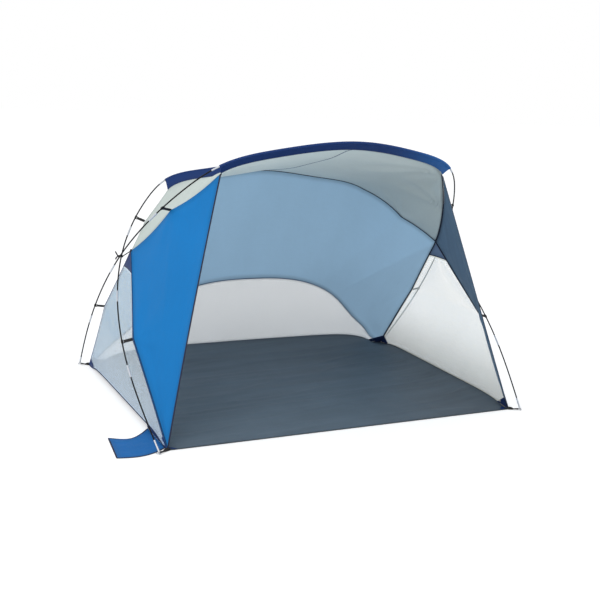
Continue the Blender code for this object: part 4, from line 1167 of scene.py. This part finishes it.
sideLook = {"wingColumns": 40, "wingRows": 56, "wingTrim": 8 * mm, "freeBow": 0.006, "slack": 16 * mm,
            "netColumns": 48, "netRows": 44, "netBow": 0.004, "gussetFront": 0.17, "gussetRear": 0.15,
            "gussetBow": 0.02, "gussetPinch": 20 * mm, "gussetColumns": 14, "gussetRows": 12,
            "gussetSag": 0.02, "freeCuts": 30, "netCuts": 20, "gussetCuts": 10, "slackFade": (5, 4)}
sideCreases = {
    # depth, reach and number of the creases at each strap and corner that pulls
    "wing": ((4 * mm, 0.22, 7), (4 * mm, 0.22, 7), (6 * mm, 0.35, 9), (4 * mm, 0.2, 7)),
    "net": ((3 * mm, 0.2, 6), (5 * mm, 0.3, 8), (5 * mm, 0.3, 8)),
}


def sided(side, points):
    return mirrored(points) if side == "left" else np.asarray(points, float)


def gussetEnds():
    # the ways down both seams from the crossing, and the points where the gusset ends on them
    ways = [unit(held[name] - corner) for name in ("lower_front", "lower_rear")]
    return ways, [corner + way * sideLook[name] for way, name in zip(ways, ("gussetFront", "gussetRear"))]


def sidePulls(grid, side, name, places, margin):
    anchors = [(sided(side, place), *crease) for place, crease in zip(places, sideCreases[name])]
    return pulls(grid, anchors, margin)


def makeWing(side, sleeveEnd, frontRun, downFront, frontLow):
    look = sideLook
    backSeam = trimmed(evenly(downFront[::-1], look["wingRows"]), look["wingTrim"])
    freeEdge = seamLine([frontLow, sleeveEnd], look["freeCuts"], look["freeBow"], held["lower_front"])
    freeEdge = trimmed(evenly(freeEdge, look["wingRows"]), look["wingTrim"])
    top = evenly(frontRun, look["wingColumns"])
    top[0], top[-1] = freeEdge[-1], backSeam[-1]
    low = evenly(np.array([freeEdge[0], backSeam[0]]), look["wingColumns"])
    wing = sided(side, coons(freeEdge, backSeam, low, top))
    # the wing hangs a little slack towards the inside
    flat = gridNormals(wing)
    flat *= np.sign(np.sum((middle - wing) * flat, axis=2).mean())
    u, v = np.linspace(0, 1, wing.shape[1])[None, :], np.linspace(0, 1, wing.shape[0])[:, None]
    atFoot, atTop = look["slackFade"]
    sag = look["slack"] * 4 * u * (1 - u) * smoothStep(v * atFoot) * smoothStep((1 - v) * atTop)
    wing = wing + flat * sag[:, :, None]
    wing = sidePulls(wing, side, "wing", (held["lower_front"], held["upper_front"], frontLow, corner), 0.04)
    wing = billow(wing, *waves["wing_" + side])
    piece = clothPiece("wing_" + side, wing, "blue_cloth", "side_wing_" + side, "blueOuter", "wingInnerShaded")
    declared(piece, wing)
    return freeEdge


def makeSideNet(side, frontLow, rearLow, sideEdge):
    look, overTab = sideLook, up * shell["overTab"]
    gussetFront, gussetRear = gussetEnds()[1]
    frontLine, rearLine = [
        seamLine([top, held[strap], foot + overTab], look["netCuts"], look["netBow"], middle)
        for top, strap, foot in ((gussetFront, "lower_front", frontLow), (gussetRear, "lower_rear", rearLow))]
    frontLine, rearLine = evenly(frontLine, look["netRows"]), evenly(rearLine, look["netRows"])
    edge = evenly(sideEdge, look["netColumns"])
    edge[0], edge[-1] = frontLine[-1], rearLine[-1]
    across = seamLine([gussetFront, gussetRear], look["gussetCuts"], look["gussetBow"], corner)
    across = evenly(across, look["netColumns"])
    window = sided(side, coons(frontLine, rearLine, across, edge))
    window = sidePulls(window, side, "net", (held["lower_front"], rearLow, frontLow), 0.012)
    window = billow(window, *waves["side_net_" + side])
    net = clothPiece("side_net_" + side, window, "white_net", "side_window_" + side, "sideNetOuter",
                     "sideNetInner", thickness=shell["net"])
    patches = cornerPatch(side, "front", frontLow + overTab, frontLine[::-1], sideEdge)
    patches += cornerPatch(side, "rear", rearLow + overTab, rearLine[::-1], sideEdge[::-1])
    if side == "left":
        patches.append(pocketTape())
    declared(net, window)
    return across


def makeGusset(side):
    columns, rows = sideLook["gussetColumns"], sideLook["gussetRows"]
    ways, ends = gussetEnds()
    frontSide, rearSide = [evenly(np.array([corner + way * sideLook["gussetPinch"], end]), columns)
                           for way, end in zip(ways, ends)]
    down = np.linspace(0, 1, rows + 1)
    sag = np.linspace(0, 1, columns)[None, :] ** 2 * (4 * down * (1 - down))[:, None]
    gusset = ruled(frontSide, rearSide, rows)
    gusset = sided(side, gusset + (corner - ends[0])[None, None, :] * sideLook["gussetSag"] * sag[:, :, None])
    piece = clothPiece("gusset_" + side, gusset, "navy_cloth", "window_gusset_" + side, "navyOuter",
                       "gussetInner")
    declared(piece, gusset)


def makeSide(side, sleeveEnd, frontRun, downFront, downRear, sideEdge, lie):
    frontLow, rearLow = frontCorner + lie, rearCorner + lie
    freeEdge = makeWing(side, sleeveEnd, frontRun, downFront, frontLow)
    across = makeSideNet(side, frontLow, rearLow, sideEdge)
    makeGusset(side)
    beads = (
        # line, width and thickness, finish and how far it stands inwards, in millimetres
        ("wing_roof_seam", frontRun, 13, 3.6, "binding", 5.5),
        ("wing_net_seam", trimmed(downFront, 8 * mm), 14, 3.6, "binding", 3.0),
        ("rear_net_seam", trimmed(downRear, 8 * mm), 12, 3.6, "binding", 3.0),
        ("wing_free_hem", trimmed(freeEdge, 2 * mm), 10, 2.8, "binding", 0.0),
        ("floor_side_seam", trimmed(sideEdge, 20 * mm), 12, 3.0, "binding", 0.5),
        ("gusset_hem", trimmed(across, 4 * mm), 7, 2.4, "binding", 0.4),
        ("wing_net_outer_seam", trimmed(downFront, 12 * mm), 8, 2.2, "outerBinding", -2.2),
        ("rear_net_outer_seam", trimmed(downRear, 12 * mm), 8, 2.2, "outerBinding", -2.2),
        ("floor_side_outer_seam", trimmed(sideEdge, 20 * mm), 11, 2.2, "outerBinding", -2.0),
    )
    for name, line, width, thickness, finish, inward in beads:
        line = sided(side, line)
        addBead(name + "_" + side, line, width * mm, thickness * mm, finish, inwardBy=inward * mm)
    size = [(axis, length * mm) for axis, length in zip(np.eye(3), (6, 11, 11))]
    settle(gathered("seam_gather_" + side, sided(side, corner), size, "binding", 1.7), "navy_cloth")


pocketSeam = {"end": 0.372, "foot": -3 * mm, "stand": 2.4 * mm, "overlap": 9 * mm, "low": 0.9 * mm,
              "top": 2 * mm, "fade": 30 * mm, "columns": 60, "rows": 8}


def pocketTape():
    # the navy tape that joins the sand pocket to the lifted edge of the floor
    along = mirrored(unit(rearCorner - frontCorner))
    outward = np.cross(up, along)
    run = np.linalg.norm(rearCorner - frontCorner)
    places = np.linspace(0, pocketSeam["end"], pocketSeam["columns"])
    foot = mirrored(frontCorner) + along * places[:, None]
    foot = foot + outward * pocketSeam["foot"] + up * pocketSeam["low"]
    top = np.array([floorPoint(-1.0, s / run) for s in places]) + outward * pocketSeam["stand"]
    over = pocketSeam["overlap"] * smoothStep((pocketSeam["end"] - places) / pocketSeam["fade"])
    top = top + up * (over + pocketSeam["top"])[:, None]
    tape = ruled(foot, top, pocketSeam["rows"])
    piece = clothSolid("pocket_seam_tape", tape, shell["cloth"], "navyOuter", "navyInner")
    return settle(piece, "navy_cloth")


patchLook = {"upSeam": 85 * mm, "alongFloor": 125 * mm, "thickness": 1.2 * mm, "stand": 1.9 * mm,
             "wallStand": 1.8, "drop": 2 * mm, "wallDrop": -5 * mm, "start": 0.04, "columns": 12, "rows": 10}


def cornerPatch(side, place, origin, alongSeam, alongFloor):
    # the navy reinforcement in a floor corner of the side window or rear wall, on both its faces
    onWall, columns = place == "wall", patchLook["columns"]
    stand = patchLook["stand"] * (patchLook["wallStand"] if onWall else 1.0)
    drop = up * patchLook["wallDrop" if onWall else "drop"]
    upEnd = readAt(alongSeam, [patchLook["upSeam"] / lineLength(alongSeam)])[0]
    floorEnd = readAt(alongFloor, [patchLook["alongFloor"] / lineLength(alongFloor)])[0]
    low = origin + (floorEnd - origin) * patchLook["start"] + drop * 0.5
    pieces = []
    for face, sign in (("inner", 1), ("outer", -1)):
        flat = unit(np.cross(upEnd - origin, floorEnd - origin))
        if np.dot(flat, middle - origin) * sign < 0:
            flat = -flat
        first = evenly(np.array([origin, upEnd]), columns) + flat * stand
        second = evenly(np.array([low, floorEnd + drop]), columns) + flat * stand
        grid = sided(side, ruled(first, second, patchLook["rows"])[:, 1:])
        name = "corner_patch_" + place + "_" + side + "_" + face
        piece = clothSolid(name, grid, patchLook["thickness"], "navyOuter", "navyInner")
        pieces.append(settle(piece, "navy_cloth"))
    return pieces


def sleeveSection(drop, inner):
    # the tube round the pole and the skirt below it, as (down, across) points of its outer or inner face
    bore, wall, around = sleeveShape["bore"], sleeveShape["wall"], sleeveShape["around"]
    radius = bore if inner else bore + wall
    hang = drop - sleeveShape["seam"] if inner else drop
    throat = wall * sleeveShape["innerThroat" if inner else "throat"]
    opening = math.radians(sleeveShape["opening"])
    turns = [opening + (2 * math.pi - 2 * opening) * k / (around - 1) for k in range(around)]
    ring = [(radius * math.cos(turn), radius * math.sin(turn)) for turn in turns]
    x, y = ring[0]
    shares = np.linspace(0, 1, sleeveShape["skirtSteps"])[1:-1]
    skirt = [(x + (hang - x) * t, y + (throat - y) * (1 - (1 - t) ** 3)) for t in shares]
    return [(hang, throat)] + skirt[::-1] + ring + [(x, -y) for x, y in skirt] + [(hang, -throat)]


def makeSleeve(arch, which):
    # a cloth tube round the pole, closed by the seam along its skirt
    length, drop, lean = sleeveLooks[which]
    tube = sleeveShape["bore"] + sleeveShape["wall"]
    places = sleevePlaces(arch, which, sleeveShape["steps"])
    sections = [sleeveSection(drop, inner) for inner in (False, True)]
    size = len(sections[0])
    points, flat, seamward = [], [], []
    for place in places:
        centre = arch.point(place)
        along, inward, across = arch.frame(place)
        slope = lean * (place - arch.length / 2) / (length / 2)
        for layer, section in enumerate(sections):
            for x, y in section:
                beyond = max(x - tube, 0)
                ripple = 0.0
                if layer == 0 and beyond > 0:
                    spot = Vector((place * sleeveShape["rippleSize"], math.copysign(2.0, y), which == "rear"))
                    swell = math.sin(math.pi * min(beyond / (drop - tube), 1))
                    ripple = sleeveShape["ripple"] * noise.noise(spot) * swell
                points.append(centre + inward * x + across * (y + ripple) + along * slope * beyond)
                flat.append((place, x * math.copysign(1, y) + (0.2 if layer else 0)))
                seamward.append(section[0][0] - x + 1 * mm)
    faces, finish = [], []
    for i in range(len(places) - 1):
        here, there = i * size * 2, (i + 1) * size * 2
        for k in range(size):
            n = (k + 1) % size
            faces.append((here + k, here + n, there + n, there + k))
            faces.append((here + size + n, here + size + k, there + size + k, there + size + n))
            finish += [0, 1]
    for base in (0, (len(places) - 1) * size * 2):
        for k in range(size):
            n = (k + 1) % size
            faces.append((base + k, base + n, base + size + n, base + size + k))
            finish.append(0)
    piece = addObject(which + "_sleeve_cloth", points, faces, ["navyOuter", "navyInner"], finish, flat)
    tellSeams(piece, seamward)
    settle(rightWay(piece), "navy_cloth", which + "_sleeve")
    width = sum(face.area for face in piece.data.polygons) / 2 / length
    print("sleeve", which, round(width, 4), round(length, 3))


makeSleeve(frontArch, "front")
makeSleeve(rearArch, "rear")
makeShell()
print("shell done")


# Poles: rods, ferrules and the cord

def roundBar(name, start, end, outer, bore, finish, cuts, bevel):
    # a straight tube along X, to be bent along its arch later
    bar = added(bpy.ops.mesh.primitive_cylinder_add, name, vertices=poleKit["sides"], radius=outer,
                depth=end - start, location=((start + end) / 2, 0, 0), rotation=(0, math.pi / 2, 0))
    bpy.ops.object.transform_apply(location=True, rotation=True, scale=True)
    bpy.ops.object.mode_set(mode="EDIT")
    shape = bmesh.from_edit_mesh(bar.data)
    for edge in shape.edges:
        edge.select_set(abs(edge.verts[0].co.x - edge.verts[1].co.x) > 1e-6)
    bmesh.update_edit_mesh(bar.data)
    bpy.ops.mesh.subdivide(number_cuts=cuts)
    boredThrough(bar, 0, outer - bore, cuts)
    return finished(softened(bar, bevel), finish)


def crimped(bar, places):
    # rings pressed into a ferrule at their places along it
    for vertex in bar.data.vertices:
        for place in places:
            away = abs(vertex.co.x - place) / poleKit["crimpHalf"]
            if away < 1 and math.hypot(vertex.co.y, vertex.co.z) > poleKit["socket"] + 0.2 * mm:
                press = 1 - poleKit["crimpDepth"] * (1 - away * away)
                vertex.co.y *= press
                vertex.co.z *= press
    return bar


def archGuide(arch, name):
    curve = bpy.data.curves.new(name, "CURVE")
    curve.dimensions = "3D"
    curve.twist_mode = "MINIMUM"
    spline = curve.splines.new("POLY")
    spline.points.add(len(arch.points) - 1)
    for point, spot in zip(spline.points, arch.points):
        point.co = (*spot, 1)
    return linked(name, curve)


def bent(master, name, shift, guide, flip=False):
    matrix = Matrix.Translation((shift, 0, 0))
    if flip:
        matrix = matrix @ Matrix.Rotation(math.pi, 4, "Z")
    return applied(placed(master, name, matrix), "CURVE", object=guide, deform_axis="POS_X")


def makePoles():
    kit = poleKit
    gap, half, long = kit["endGap"], kit["ferruleHalf"], kit["footFerrule"]
    steel = (kit["ferrule"], kit["rod"] + kit["fit"], "ferruleSteel", kit["ferruleCuts"])
    for which, arch in (("rear", rearArch), ("front", frontArch)):
        joints = jointPlaces(arch)
        guide = archGuide(arch, which + "Guide")
        rod = roundBar("rodMaster", gap, joints[1] - joints[0] - gap, kit["rod"], kit["rodBore"], "rod",
                       kit["rodCuts"], kit["rodRound"])
        ferrule = roundBar("ferruleMaster", -half, half, *steel, kit["ferruleRound"])
        crimped(ferrule, [place - half for place in kit["crimps"]])
        foot = roundBar("footMaster", 0, long, *steel, kit["footRound"])
        crimped(foot, [long - place for place in kit["crimps"]])
        for k in range(kit["sections"]):
            number = str(k + 1).zfill(2)
            piece = bent(rod, which + "_rod_" + number, joints[k], guide)
            settle(piece, "fibreglass_pole", which + "_pole_section_" + number)
            if k:
                settle(bent(ferrule, which + "_ferrule_" + str(k).zfill(2), joints[k], guide), "steel")
        settle(bent(foot, which + "_foot_ferrule_left", joints[0], guide), "steel")
        settle(bent(foot, which + "_foot_ferrule_right", joints[-1], guide, True), "steel")
        thrownAway(rod, ferrule, foot, guide)
        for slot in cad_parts[which + "_pole_elastic_cord"].material_slots:
            slot.material = paints["elastic"]


makePoles()
print("poles done")


# Feet: pins, rings and the corner tabs

footLook = {"pin": 2.9 * mm, "pinRound": 1.1 * mm, "reach": 44 * mm, "eye": 4.6 * mm, "wire": 1.75 * mm,
            "eyeHeight": 7.4 * mm, "ring": 14 * mm, "drop": 0.3 * mm, "fit": 0.45 * mm, "weldAt": 2.4,
            "weldHalf": 0.14, "weldSwell": 0.18}


def footFrame(arch, atStart):
    end = 0.0 if atStart else arch.length
    ground = arch.point(end)
    upward = arch.frame(end)[0] * (1 if atStart else -1)
    eyeAlong = footLook["eyeHeight"] / upward[2]
    level = unit((upward[0], upward[1], 0))
    eye = ground + upward * eyeAlong
    centre = eye + level * footLook["ring"] - up * footLook["drop"]
    return eye, upward, eyeAlong, centre


def makeFeet():
    radius, half = footLook["ring"], footLook["weldHalf"]
    ringMaster = added(bpy.ops.mesh.primitive_torus_add, "ringMaster", major_radius=radius,
                       minor_radius=footLook["wire"], major_segments=64, minor_segments=14)
    # the wire's ends meet in a small weld
    for vertex in ringMaster.data.vertices:
        turn = math.atan2(vertex.co.y, vertex.co.x)
        away = turn - footLook["weldAt"]
        if abs(away) < half:
            centre = Vector((math.cos(turn), math.sin(turn), 0)) * radius
            swell = 1 + footLook["weldSwell"] * math.cos(away / half * math.pi / 2)
            vertex.co = centre + (vertex.co - centre) * swell
    ringMaster.data.materials.append(paints["wire"])
    ringMaster.data.shade_smooth()
    for arch, which, floorCorner in ((rearArch, "front", frontCorner), (frontArch, "rear", rearCorner)):
        for side in ("left", "right"):
            place = which + "_" + side
            eye, upward, eyeAlong, centre = footFrame(arch, side == "left")
            ring = placed(ringMaster, "ring_wire_" + place, Matrix.Translation(centre))
            settle(ring, "steel", "ring_" + place, body="ring_" + place)
            settle(makePin(place, arch, side == "left", eye, upward, eyeAlong), "steel", "pin_" + place)
            makeTab(place, centre, sided(side, floorCorner))
    thrownAway(ringMaster)


def makePin(place, arch, atStart, eye, upward, eyeAlong):
    low = eyeAlong + footLook["eye"] - footLook["wire"] / 2
    high = poleKit["tipStart"] + footLook["reach"]
    pin = added(bpy.ops.mesh.primitive_cylinder_add, "pin_steel_" + place, vertices=18,
                radius=footLook["pin"], depth=high - low)
    softened(pin, footLook["pinRound"], 3)
    side = unit(np.cross(upward, up))
    third = np.cross(upward, side)
    ground = arch.point(0.0 if atStart else arch.length)
    pin.data.transform(basis(ground + upward * (low + high) / 2, side, third, upward))
    loop = added(bpy.ops.mesh.primitive_torus_add, "eyeLoop", major_radius=footLook["eye"],
                 minor_radius=footLook["wire"], major_segments=36, minor_segments=12)
    loop.data.transform(basis(eye, upward, third, side))
    applied(rightWay(pin), "BOOLEAN", operation="UNION", solver="EXACT", object=rightWay(loop))
    thrownAway(loop)
    return finished(pin, "wire", 40)


tabLook = {"web": 20 * mm, "thick": 1.5 * mm, "patch": 55 * mm, "margin": 8 * mm, "low": 0.3 * mm,
           "approach": 4 * mm, "turnSteps": 12, "halfTurn": 0.62, "above": 0.15 * mm,
           "patchThick": 1.0 * mm, "patchFrom": 2 * mm, "bunchOut": 13 * mm,
           "bunchUp": 9 * mm, "bunchLean": -0.25, "bunch": (19 * mm, 9 * mm, 8 * mm), "under": 0.6,
           "over": 1.6, "atPatch": 0.75, "thin": 0.92, "sharp": 1.2, "tucked": 0.7, "round": 0.9,
           "steps": 90, "patchColumns": 12, "patchRows": 10}


def makeTab(place, centre, floorCorner):
    # webbing that runs from the floor's corner through the ring and back
    outward = unit((centre[0] - floorCorner[0], centre[1] - floorCorner[1], 0))
    across = np.cross(up, outward)
    web, margin, patch = tabLook["thick"], tabLook["margin"], tabLook["patch"]
    wire, fit, half = footLook["wire"], footLook["fit"], tabLook["web"] / 2
    far = footLook["ring"] + wire + fit
    near = math.sqrt((footLook["ring"] - wire) ** 2 - half**2) - fit
    holeHalf, tall = (far - near) / 2, wire + fit
    holeAt = centre - outward * (far + near) / 2
    run, level = np.dot(holeAt - floorCorner, outward), holeAt[2]
    low = shell["cloth"] + tabLook["low"]
    enter = run - holeHalf - tabLook["approach"]
    # the webbing's middle line: in along the floor, over the ring's wire, round it and back underneath
    under, over = web * tabLook["under"], low + web * tabLook["over"]
    line = [(-patch / 2, over), (margin, over), (enter, level + under)]
    for k in range(tabLook["turnSteps"] + 1):
        turn = math.pi * (tabLook["halfTurn"] - 2 * tabLook["halfTurn"] * k / tabLook["turnSteps"])
        reach = (holeHalf - tall / 2) * (1 if abs(turn) < tabLook["sharp"] else tabLook["tucked"])
        radius = tall + web / 2
        forth = run + reach + radius * math.cos(turn) * tabLook["round"]
        line.append((forth, level + radius * math.sin(turn)))
    line += [(enter, level - under), (margin, low + under), (-patch / 2, low + under)]
    base = np.array([floorCorner[0], floorCorner[1], 0])
    path = smoothCurve([base + outward * x + up * z for x, z in line], tabLook["steps"])
    path[:, 2] = np.maximum(path[:, 2], web / 2 + tabLook["above"])
    section = flatOval(tabLook["web"], web * tabLook["thin"], 12)
    facing = np.cross(np.gradient(path, axis=0), across)
    piece = swept("corner_webbing_" + place, path, section, "webbing", facing)
    settle(rightWay(piece), "tab_webbing", "corner_tab_" + place)
    inwardX, inwardY = [-np.sign(floorCorner[k]) * np.eye(3)[k] for k in (0, 1)]
    inset = base + (inwardX + inwardY) * margin + up * (low + web * tabLook["atPatch"])
    first, second = [
        evenly(np.array([inset + way * tabLook["patchFrom"], inset + way * patch]), tabLook["patchColumns"])
        for way in (inwardX, inwardY)]
    lean = unit(outward + up * tabLook["bunchLean"])
    size = tuple(zip((lean, across, np.cross(lean, across)), tabLook["bunch"]))
    bunchAt = base + outward * tabLook["bunchOut"] + up * tabLook["bunchUp"]
    settle(gathered("corner_bunch_" + place, bunchAt, size, "webbing", 0.6), "tab_webbing")
    grid = ruled(first, second, tabLook["patchRows"])
    piece = clothSolid("floor_patch_" + place, grid, tabLook["patchThick"], "navyInner", "navyOuter")
    settle(piece, "navy_cloth")


makeFeet()
print("feet done")


# Hook straps and the ties at the crossings

def makeHookMaster():
    # X runs from the pole to the cloth, Z along the pole; the hook is moulded, the strap is webbing
    inside = poleKit["rod"] + hookShape["fit"]
    outside = inside + hookShape["wall"]
    lip = math.pi - math.radians(hookShape["mouth"]) / 2
    turns = np.linspace(-lip, lip, hookShape["steps"])
    outer = [(outside * math.cos(t), outside * math.sin(t)) for t in turns]
    bore = [(inside * math.cos(t), inside * math.sin(t)) for t in np.linspace(lip, -lip, hookShape["steps"])]
    tip = hookShape["wall"] * hookShape["tip"]
    outer[0] = (outer[0][0] - tip * 0.3, outer[0][1] - tip * 0.5)
    outer[-1] = (outer[-1][0] - tip * 0.3, outer[-1][1] + tip * 0.5)
    outline = outer + bore
    mesh = bpy.data.meshes.new("hookMaster")
    ends = [(x, y, -hookShape["webWidth"] / 2) for x, y in outline]
    mesh.from_pydata(ends, [], [tuple(range(len(outline)))])
    hook = linked("hookMaster", mesh)
    only(hook)
    bpy.ops.object.mode_set(mode="EDIT")
    bpy.ops.mesh.select_all(action="SELECT")
    bpy.ops.mesh.extrude_region_move(TRANSFORM_OT_translate={"value": (0, 0, hookShape["webWidth"])})
    bpy.ops.mesh.select_all(action="SELECT")
    bpy.ops.mesh.normals_make_consistent(inside=False)
    bpy.ops.object.mode_set(mode="OBJECT")
    return finished(softened(hook, hookShape["round"]), "hookPlastic"), outside


def barMaster(outside):
    # the hook's bridge, a bar with a slot that the webbing loops through
    centre = (outside + hookShape["barAt"], 0, 0)
    bar = added(bpy.ops.mesh.primitive_cube_add, "barMaster", size=1, location=centre)
    tall = hookShape["webWidth"] + hookShape["barExtra"]
    bpy.ops.transform.resize(value=(hookShape["barLong"], hookShape["barThick"], tall))
    bpy.ops.object.transform_apply(location=True, rotation=True, scale=True)
    bpy.ops.object.mode_set(mode="EDIT")
    boredThrough(bar, 1, hookShape["slotBorder"])
    return finished(softened(bar, hookShape["round"]), "hookPlastic")


strapLook = {"rises": (0.56, 0.58, 1.0), "near": (12 * mm, 5 * mm), "loopAt": 2.2 * mm,
             "loopLong": 2.4 * mm, "loopTall": 2.6 * mm, "loopSteps": 8, "steps": 70, "thin": 0.95}


def strapMaster(outside):
    # webbing through the bar's slot and doubled back to the seam
    web = hookShape["web"]
    start = outside + hookShape["strapAt"]
    end = hookShape["reach"] - hookShape["strapEnd"]
    places = [end] + [start + near for near in strapLook["near"]]
    upper = [(x, web * rise) for x, rise in zip(places, strapLook["rises"])]
    count, long, tall = [strapLook[key] for key in ("loopSteps", "loopLong", "loopTall")]
    turns = [math.pi / 2 + math.pi * k / count for k in range(count + 1)]
    loop = [(start + strapLook["loopAt"] + long * math.cos(turn), tall * math.sin(turn)) for turn in turns]
    line = upper + loop + [(x, -y) for x, y in upper[::-1]]
    path = smoothCurve([(x, y, 0) for x, y in line], strapLook["steps"])
    facing = np.cross(np.gradient(path, axis=0), up)
    section = flatOval(hookShape["webWidth"], web * strapLook["thin"], 12)
    return rightWay(swept("strapMaster", path, section, "webbing", facing))


def makeHooks():
    hook, outside = makeHookMaster()
    bar, strap = barMaster(outside), strapMaster(outside)
    for name in hooks:
        centre, along, outward = hookFrame(name)
        across = np.cross(along, outward)
        for hand, sign in (("right", 1), ("left", -1)):
            matrix = Matrix.Diagonal((sign, 1, 1, 1)) @ basis(centre, outward, across, along)
            ending = name + "_" + hand
            node = "hook_strap_" + ending
            settle(placed(hook, "hook_" + ending, matrix), "hook_plastic", node)
            settle(placed(bar, "hook_bar_" + ending, matrix), "hook_plastic")
            settle(placed(strap, "strap_" + ending, matrix), "tab_webbing", node)
    thrownAway(hook, bar, strap)


tieLook = {"wide": 10 * mm, "thick": 1.1 * mm, "room": 6.3 * mm, "along": 10 * mm, "tail": 62 * mm,
           "narrow": 8 * mm, "knotOut": 1.4 * mm, "knotThick": 4.2 * mm, "tailThick": 1.8 * mm,
           "soft": 0.8, "steps": 48, "tuck": 0.5 * mm, "runGap": 2 * mm, "runThick": 1.6, "runSteps": 24,
           "knotAt": (0.0, -4 * mm, 0.0), "knotSteps": 20, "tailOut": 0.42, "tailBend": (3 * mm, 4 * mm),
           "tailSteps": 18, "tailFacing": (0.4, -1.0, 0.3)}
tieKnot = ((0, -7, -2), (2.5, -2, 1), (2.2, 3, -1), (0, 8, 2))  # millimetres out, back and up
tieTails = ((-0.55, 0.60, 1.0), (0.5, -0.75, 0.45))  # lean, rise and share of the tail's length


def makeTie(side):
    # tape wound round both poles, knotted, with two free ends and a run to the cloth's corner
    sign = 1 if side == "right" else -1
    at, seamCorner = sided(side, cross), sided(side, corner)
    out, back = np.array([sign, 0.0, 0.0]), np.array([0.0, 1.0, 0.0])
    halfAcross = 2 * poleKit["rod"] + tieLook["room"]
    halfAlong = poleKit["rod"] * 1.5 + tieLook["along"]

    def tape(name, line, width, thickness, sides, facing, *nodes, closed=False):
        piece = swept(name + "_" + side, line, flatOval(width, thickness, sides), "tape", facing, closed)
        settle(rightWay(piece), "tie_tape", *nodes)

    def rounded(value):
        return math.copysign(abs(value) ** tieLook["soft"], value)

    turns = [2 * math.pi * k / tieLook["steps"] for k in range(tieLook["steps"])]
    spots = [(halfAlong * rounded(math.cos(turn)), halfAcross * rounded(math.sin(turn))) for turn in turns]
    loop = np.array([at + back * x + out * y for x, y in spots])
    tape("tie_band", loop, tieLook["wide"], tieLook["thick"], 10, loop - at, "cross_tie_" + side, closed=True)
    start = at - out * (halfAcross - tieLook["tuck"])
    way = unit(seamCorner - start)
    halfWay, runGap = start + (seamCorner - start) * 0.5, tieLook["runGap"]
    path = smoothCurve([start + back * runGap, halfWay, seamCorner - way * runGap], tieLook["runSteps"])
    facing = np.cross(way, unit(np.cross(way, out)))
    tape("tie_run", path, tieLook["narrow"], tieLook["thick"] * tieLook["runThick"], 10, facing,
         "cross_tie_" + side)
    knotAt = at + out * (halfAcross + tieLook["knotOut"]) + np.array(tieLook["knotAt"])
    knotLine = [knotAt + np.array((sign * x, y, z)) * mm for x, y, z in tieKnot]
    knotLine = smoothCurve(knotLine, tieLook["knotSteps"])
    tape("tie_knot", knotLine, tieLook["narrow"], tieLook["knotThick"], 12, out)
    bendOut, bendUp = tieLook["tailBend"]
    x, y, z = tieLook["tailFacing"]
    for number, (lean, rise, reach) in enumerate(tieTails):
        end = knotAt + np.array([sign * tieLook["tailOut"], lean, rise]) * tieLook["tail"] * reach
        bend = knotAt + (end - knotAt) * 0.5 + np.array([sign * bendOut, 0, bendUp])
        tail = smoothCurve([knotAt, bend, end], tieLook["tailSteps"])
        tape("tie_tail_" + str(number + 1), tail, tieLook["narrow"], tieLook["tailThick"], 8,
             np.array([sign * x, y, z]))


makeHooks()
makeTie("left")
makeTie("right")
print("straps and ties done")


# The sand pocket

pocketLook = {"length": 0.32, "width": 0.286, "start": 45 * mm, "gap": 1.0 * mm, "thickness": 2.2 * mm,
              "low": 1.6 * mm, "wave": 1.5 * mm, "waveSizes": (11, 27), "lift": 0.4,
              "fade": 30 * mm, "above": 0.2 * mm, "rimLow": 1.75 * mm,
              "rim": (9 * mm, 3.2 * mm), "inner": ((0.0, 0.0), (1.0, 0.0)),
              "right": ((1.0, 0.0), (0.72, 0.28), (0.61, 0.48), (0.76, 0.88)),
              "outer": ((-0.19, 1.0), (0.76, 0.88)),
              "left": ((0.0, 0.0), (-0.12, 0.18), (-0.23, 0.45), (-0.25, 0.63), (-0.19, 1.0))}


def makePocket():
    along = mirrored(unit(rearCorner - frontCorner))
    outward = np.cross(up, along)
    gap, thickness = pocketLook["gap"], pocketLook["thickness"]
    origin = mirrored(frontCorner) + along * pocketLook["start"] - outward * gap + up * pocketLook["low"]

    def edge(name, count, soft):
        corners = [origin + along * x * pocketLook["length"] + outward * y * pocketLook["width"]
                   for x, y in pocketLook[name]]
        return evenly(smoothCurve(corners, 200) if soft else np.array(corners), count)

    straight = [edge(name, 44, False) for name in ("inner", "outer")]
    curved = [edge(name, 40, True) for name in ("left", "right")]
    grid = coons(*straight, *curved)
    fade = smoothStep(fromSeams(grid) / pocketLook["fade"])
    broad, small = pocketLook["waveSizes"]
    for r in range(grid.shape[0]):
        for c in range(grid.shape[1]):
            spot = Vector(grid[r, c])
            wave = noise.noise(spot * broad) + 0.5 * noise.noise(spot * small)
            grid[r, c, 2] += pocketLook["wave"] * (pocketLook["lift"] + wave) * fade[r, c]
    grid[:, :, 2] = np.maximum(grid[:, :, 2], thickness / 2 + pocketLook["above"])
    piece = clothSolid("sand_pocket_cloth", drawnIn(grid, gap), thickness, "pocketCloth", "pocketCloth")
    settle(piece, "blue_cloth", "sand_pocket", body="sand_pocket")
    rim = np.concatenate([grid[:, 0], grid[-1, 1:], grid[::-1, -1][1:]])
    rim[:, 2] = np.maximum(rim[:, 2], pocketLook["rimLow"])
    binding = swept("sand_pocket_binding", trimmed(rim, 4 * mm), flatOval(*pocketLook["rim"]), "binding", up)
    settle(rightWay(binding), "navy_cloth", body="sand_pocket")
    declared(piece, grid)


makePocket()
print("sand pocket done")
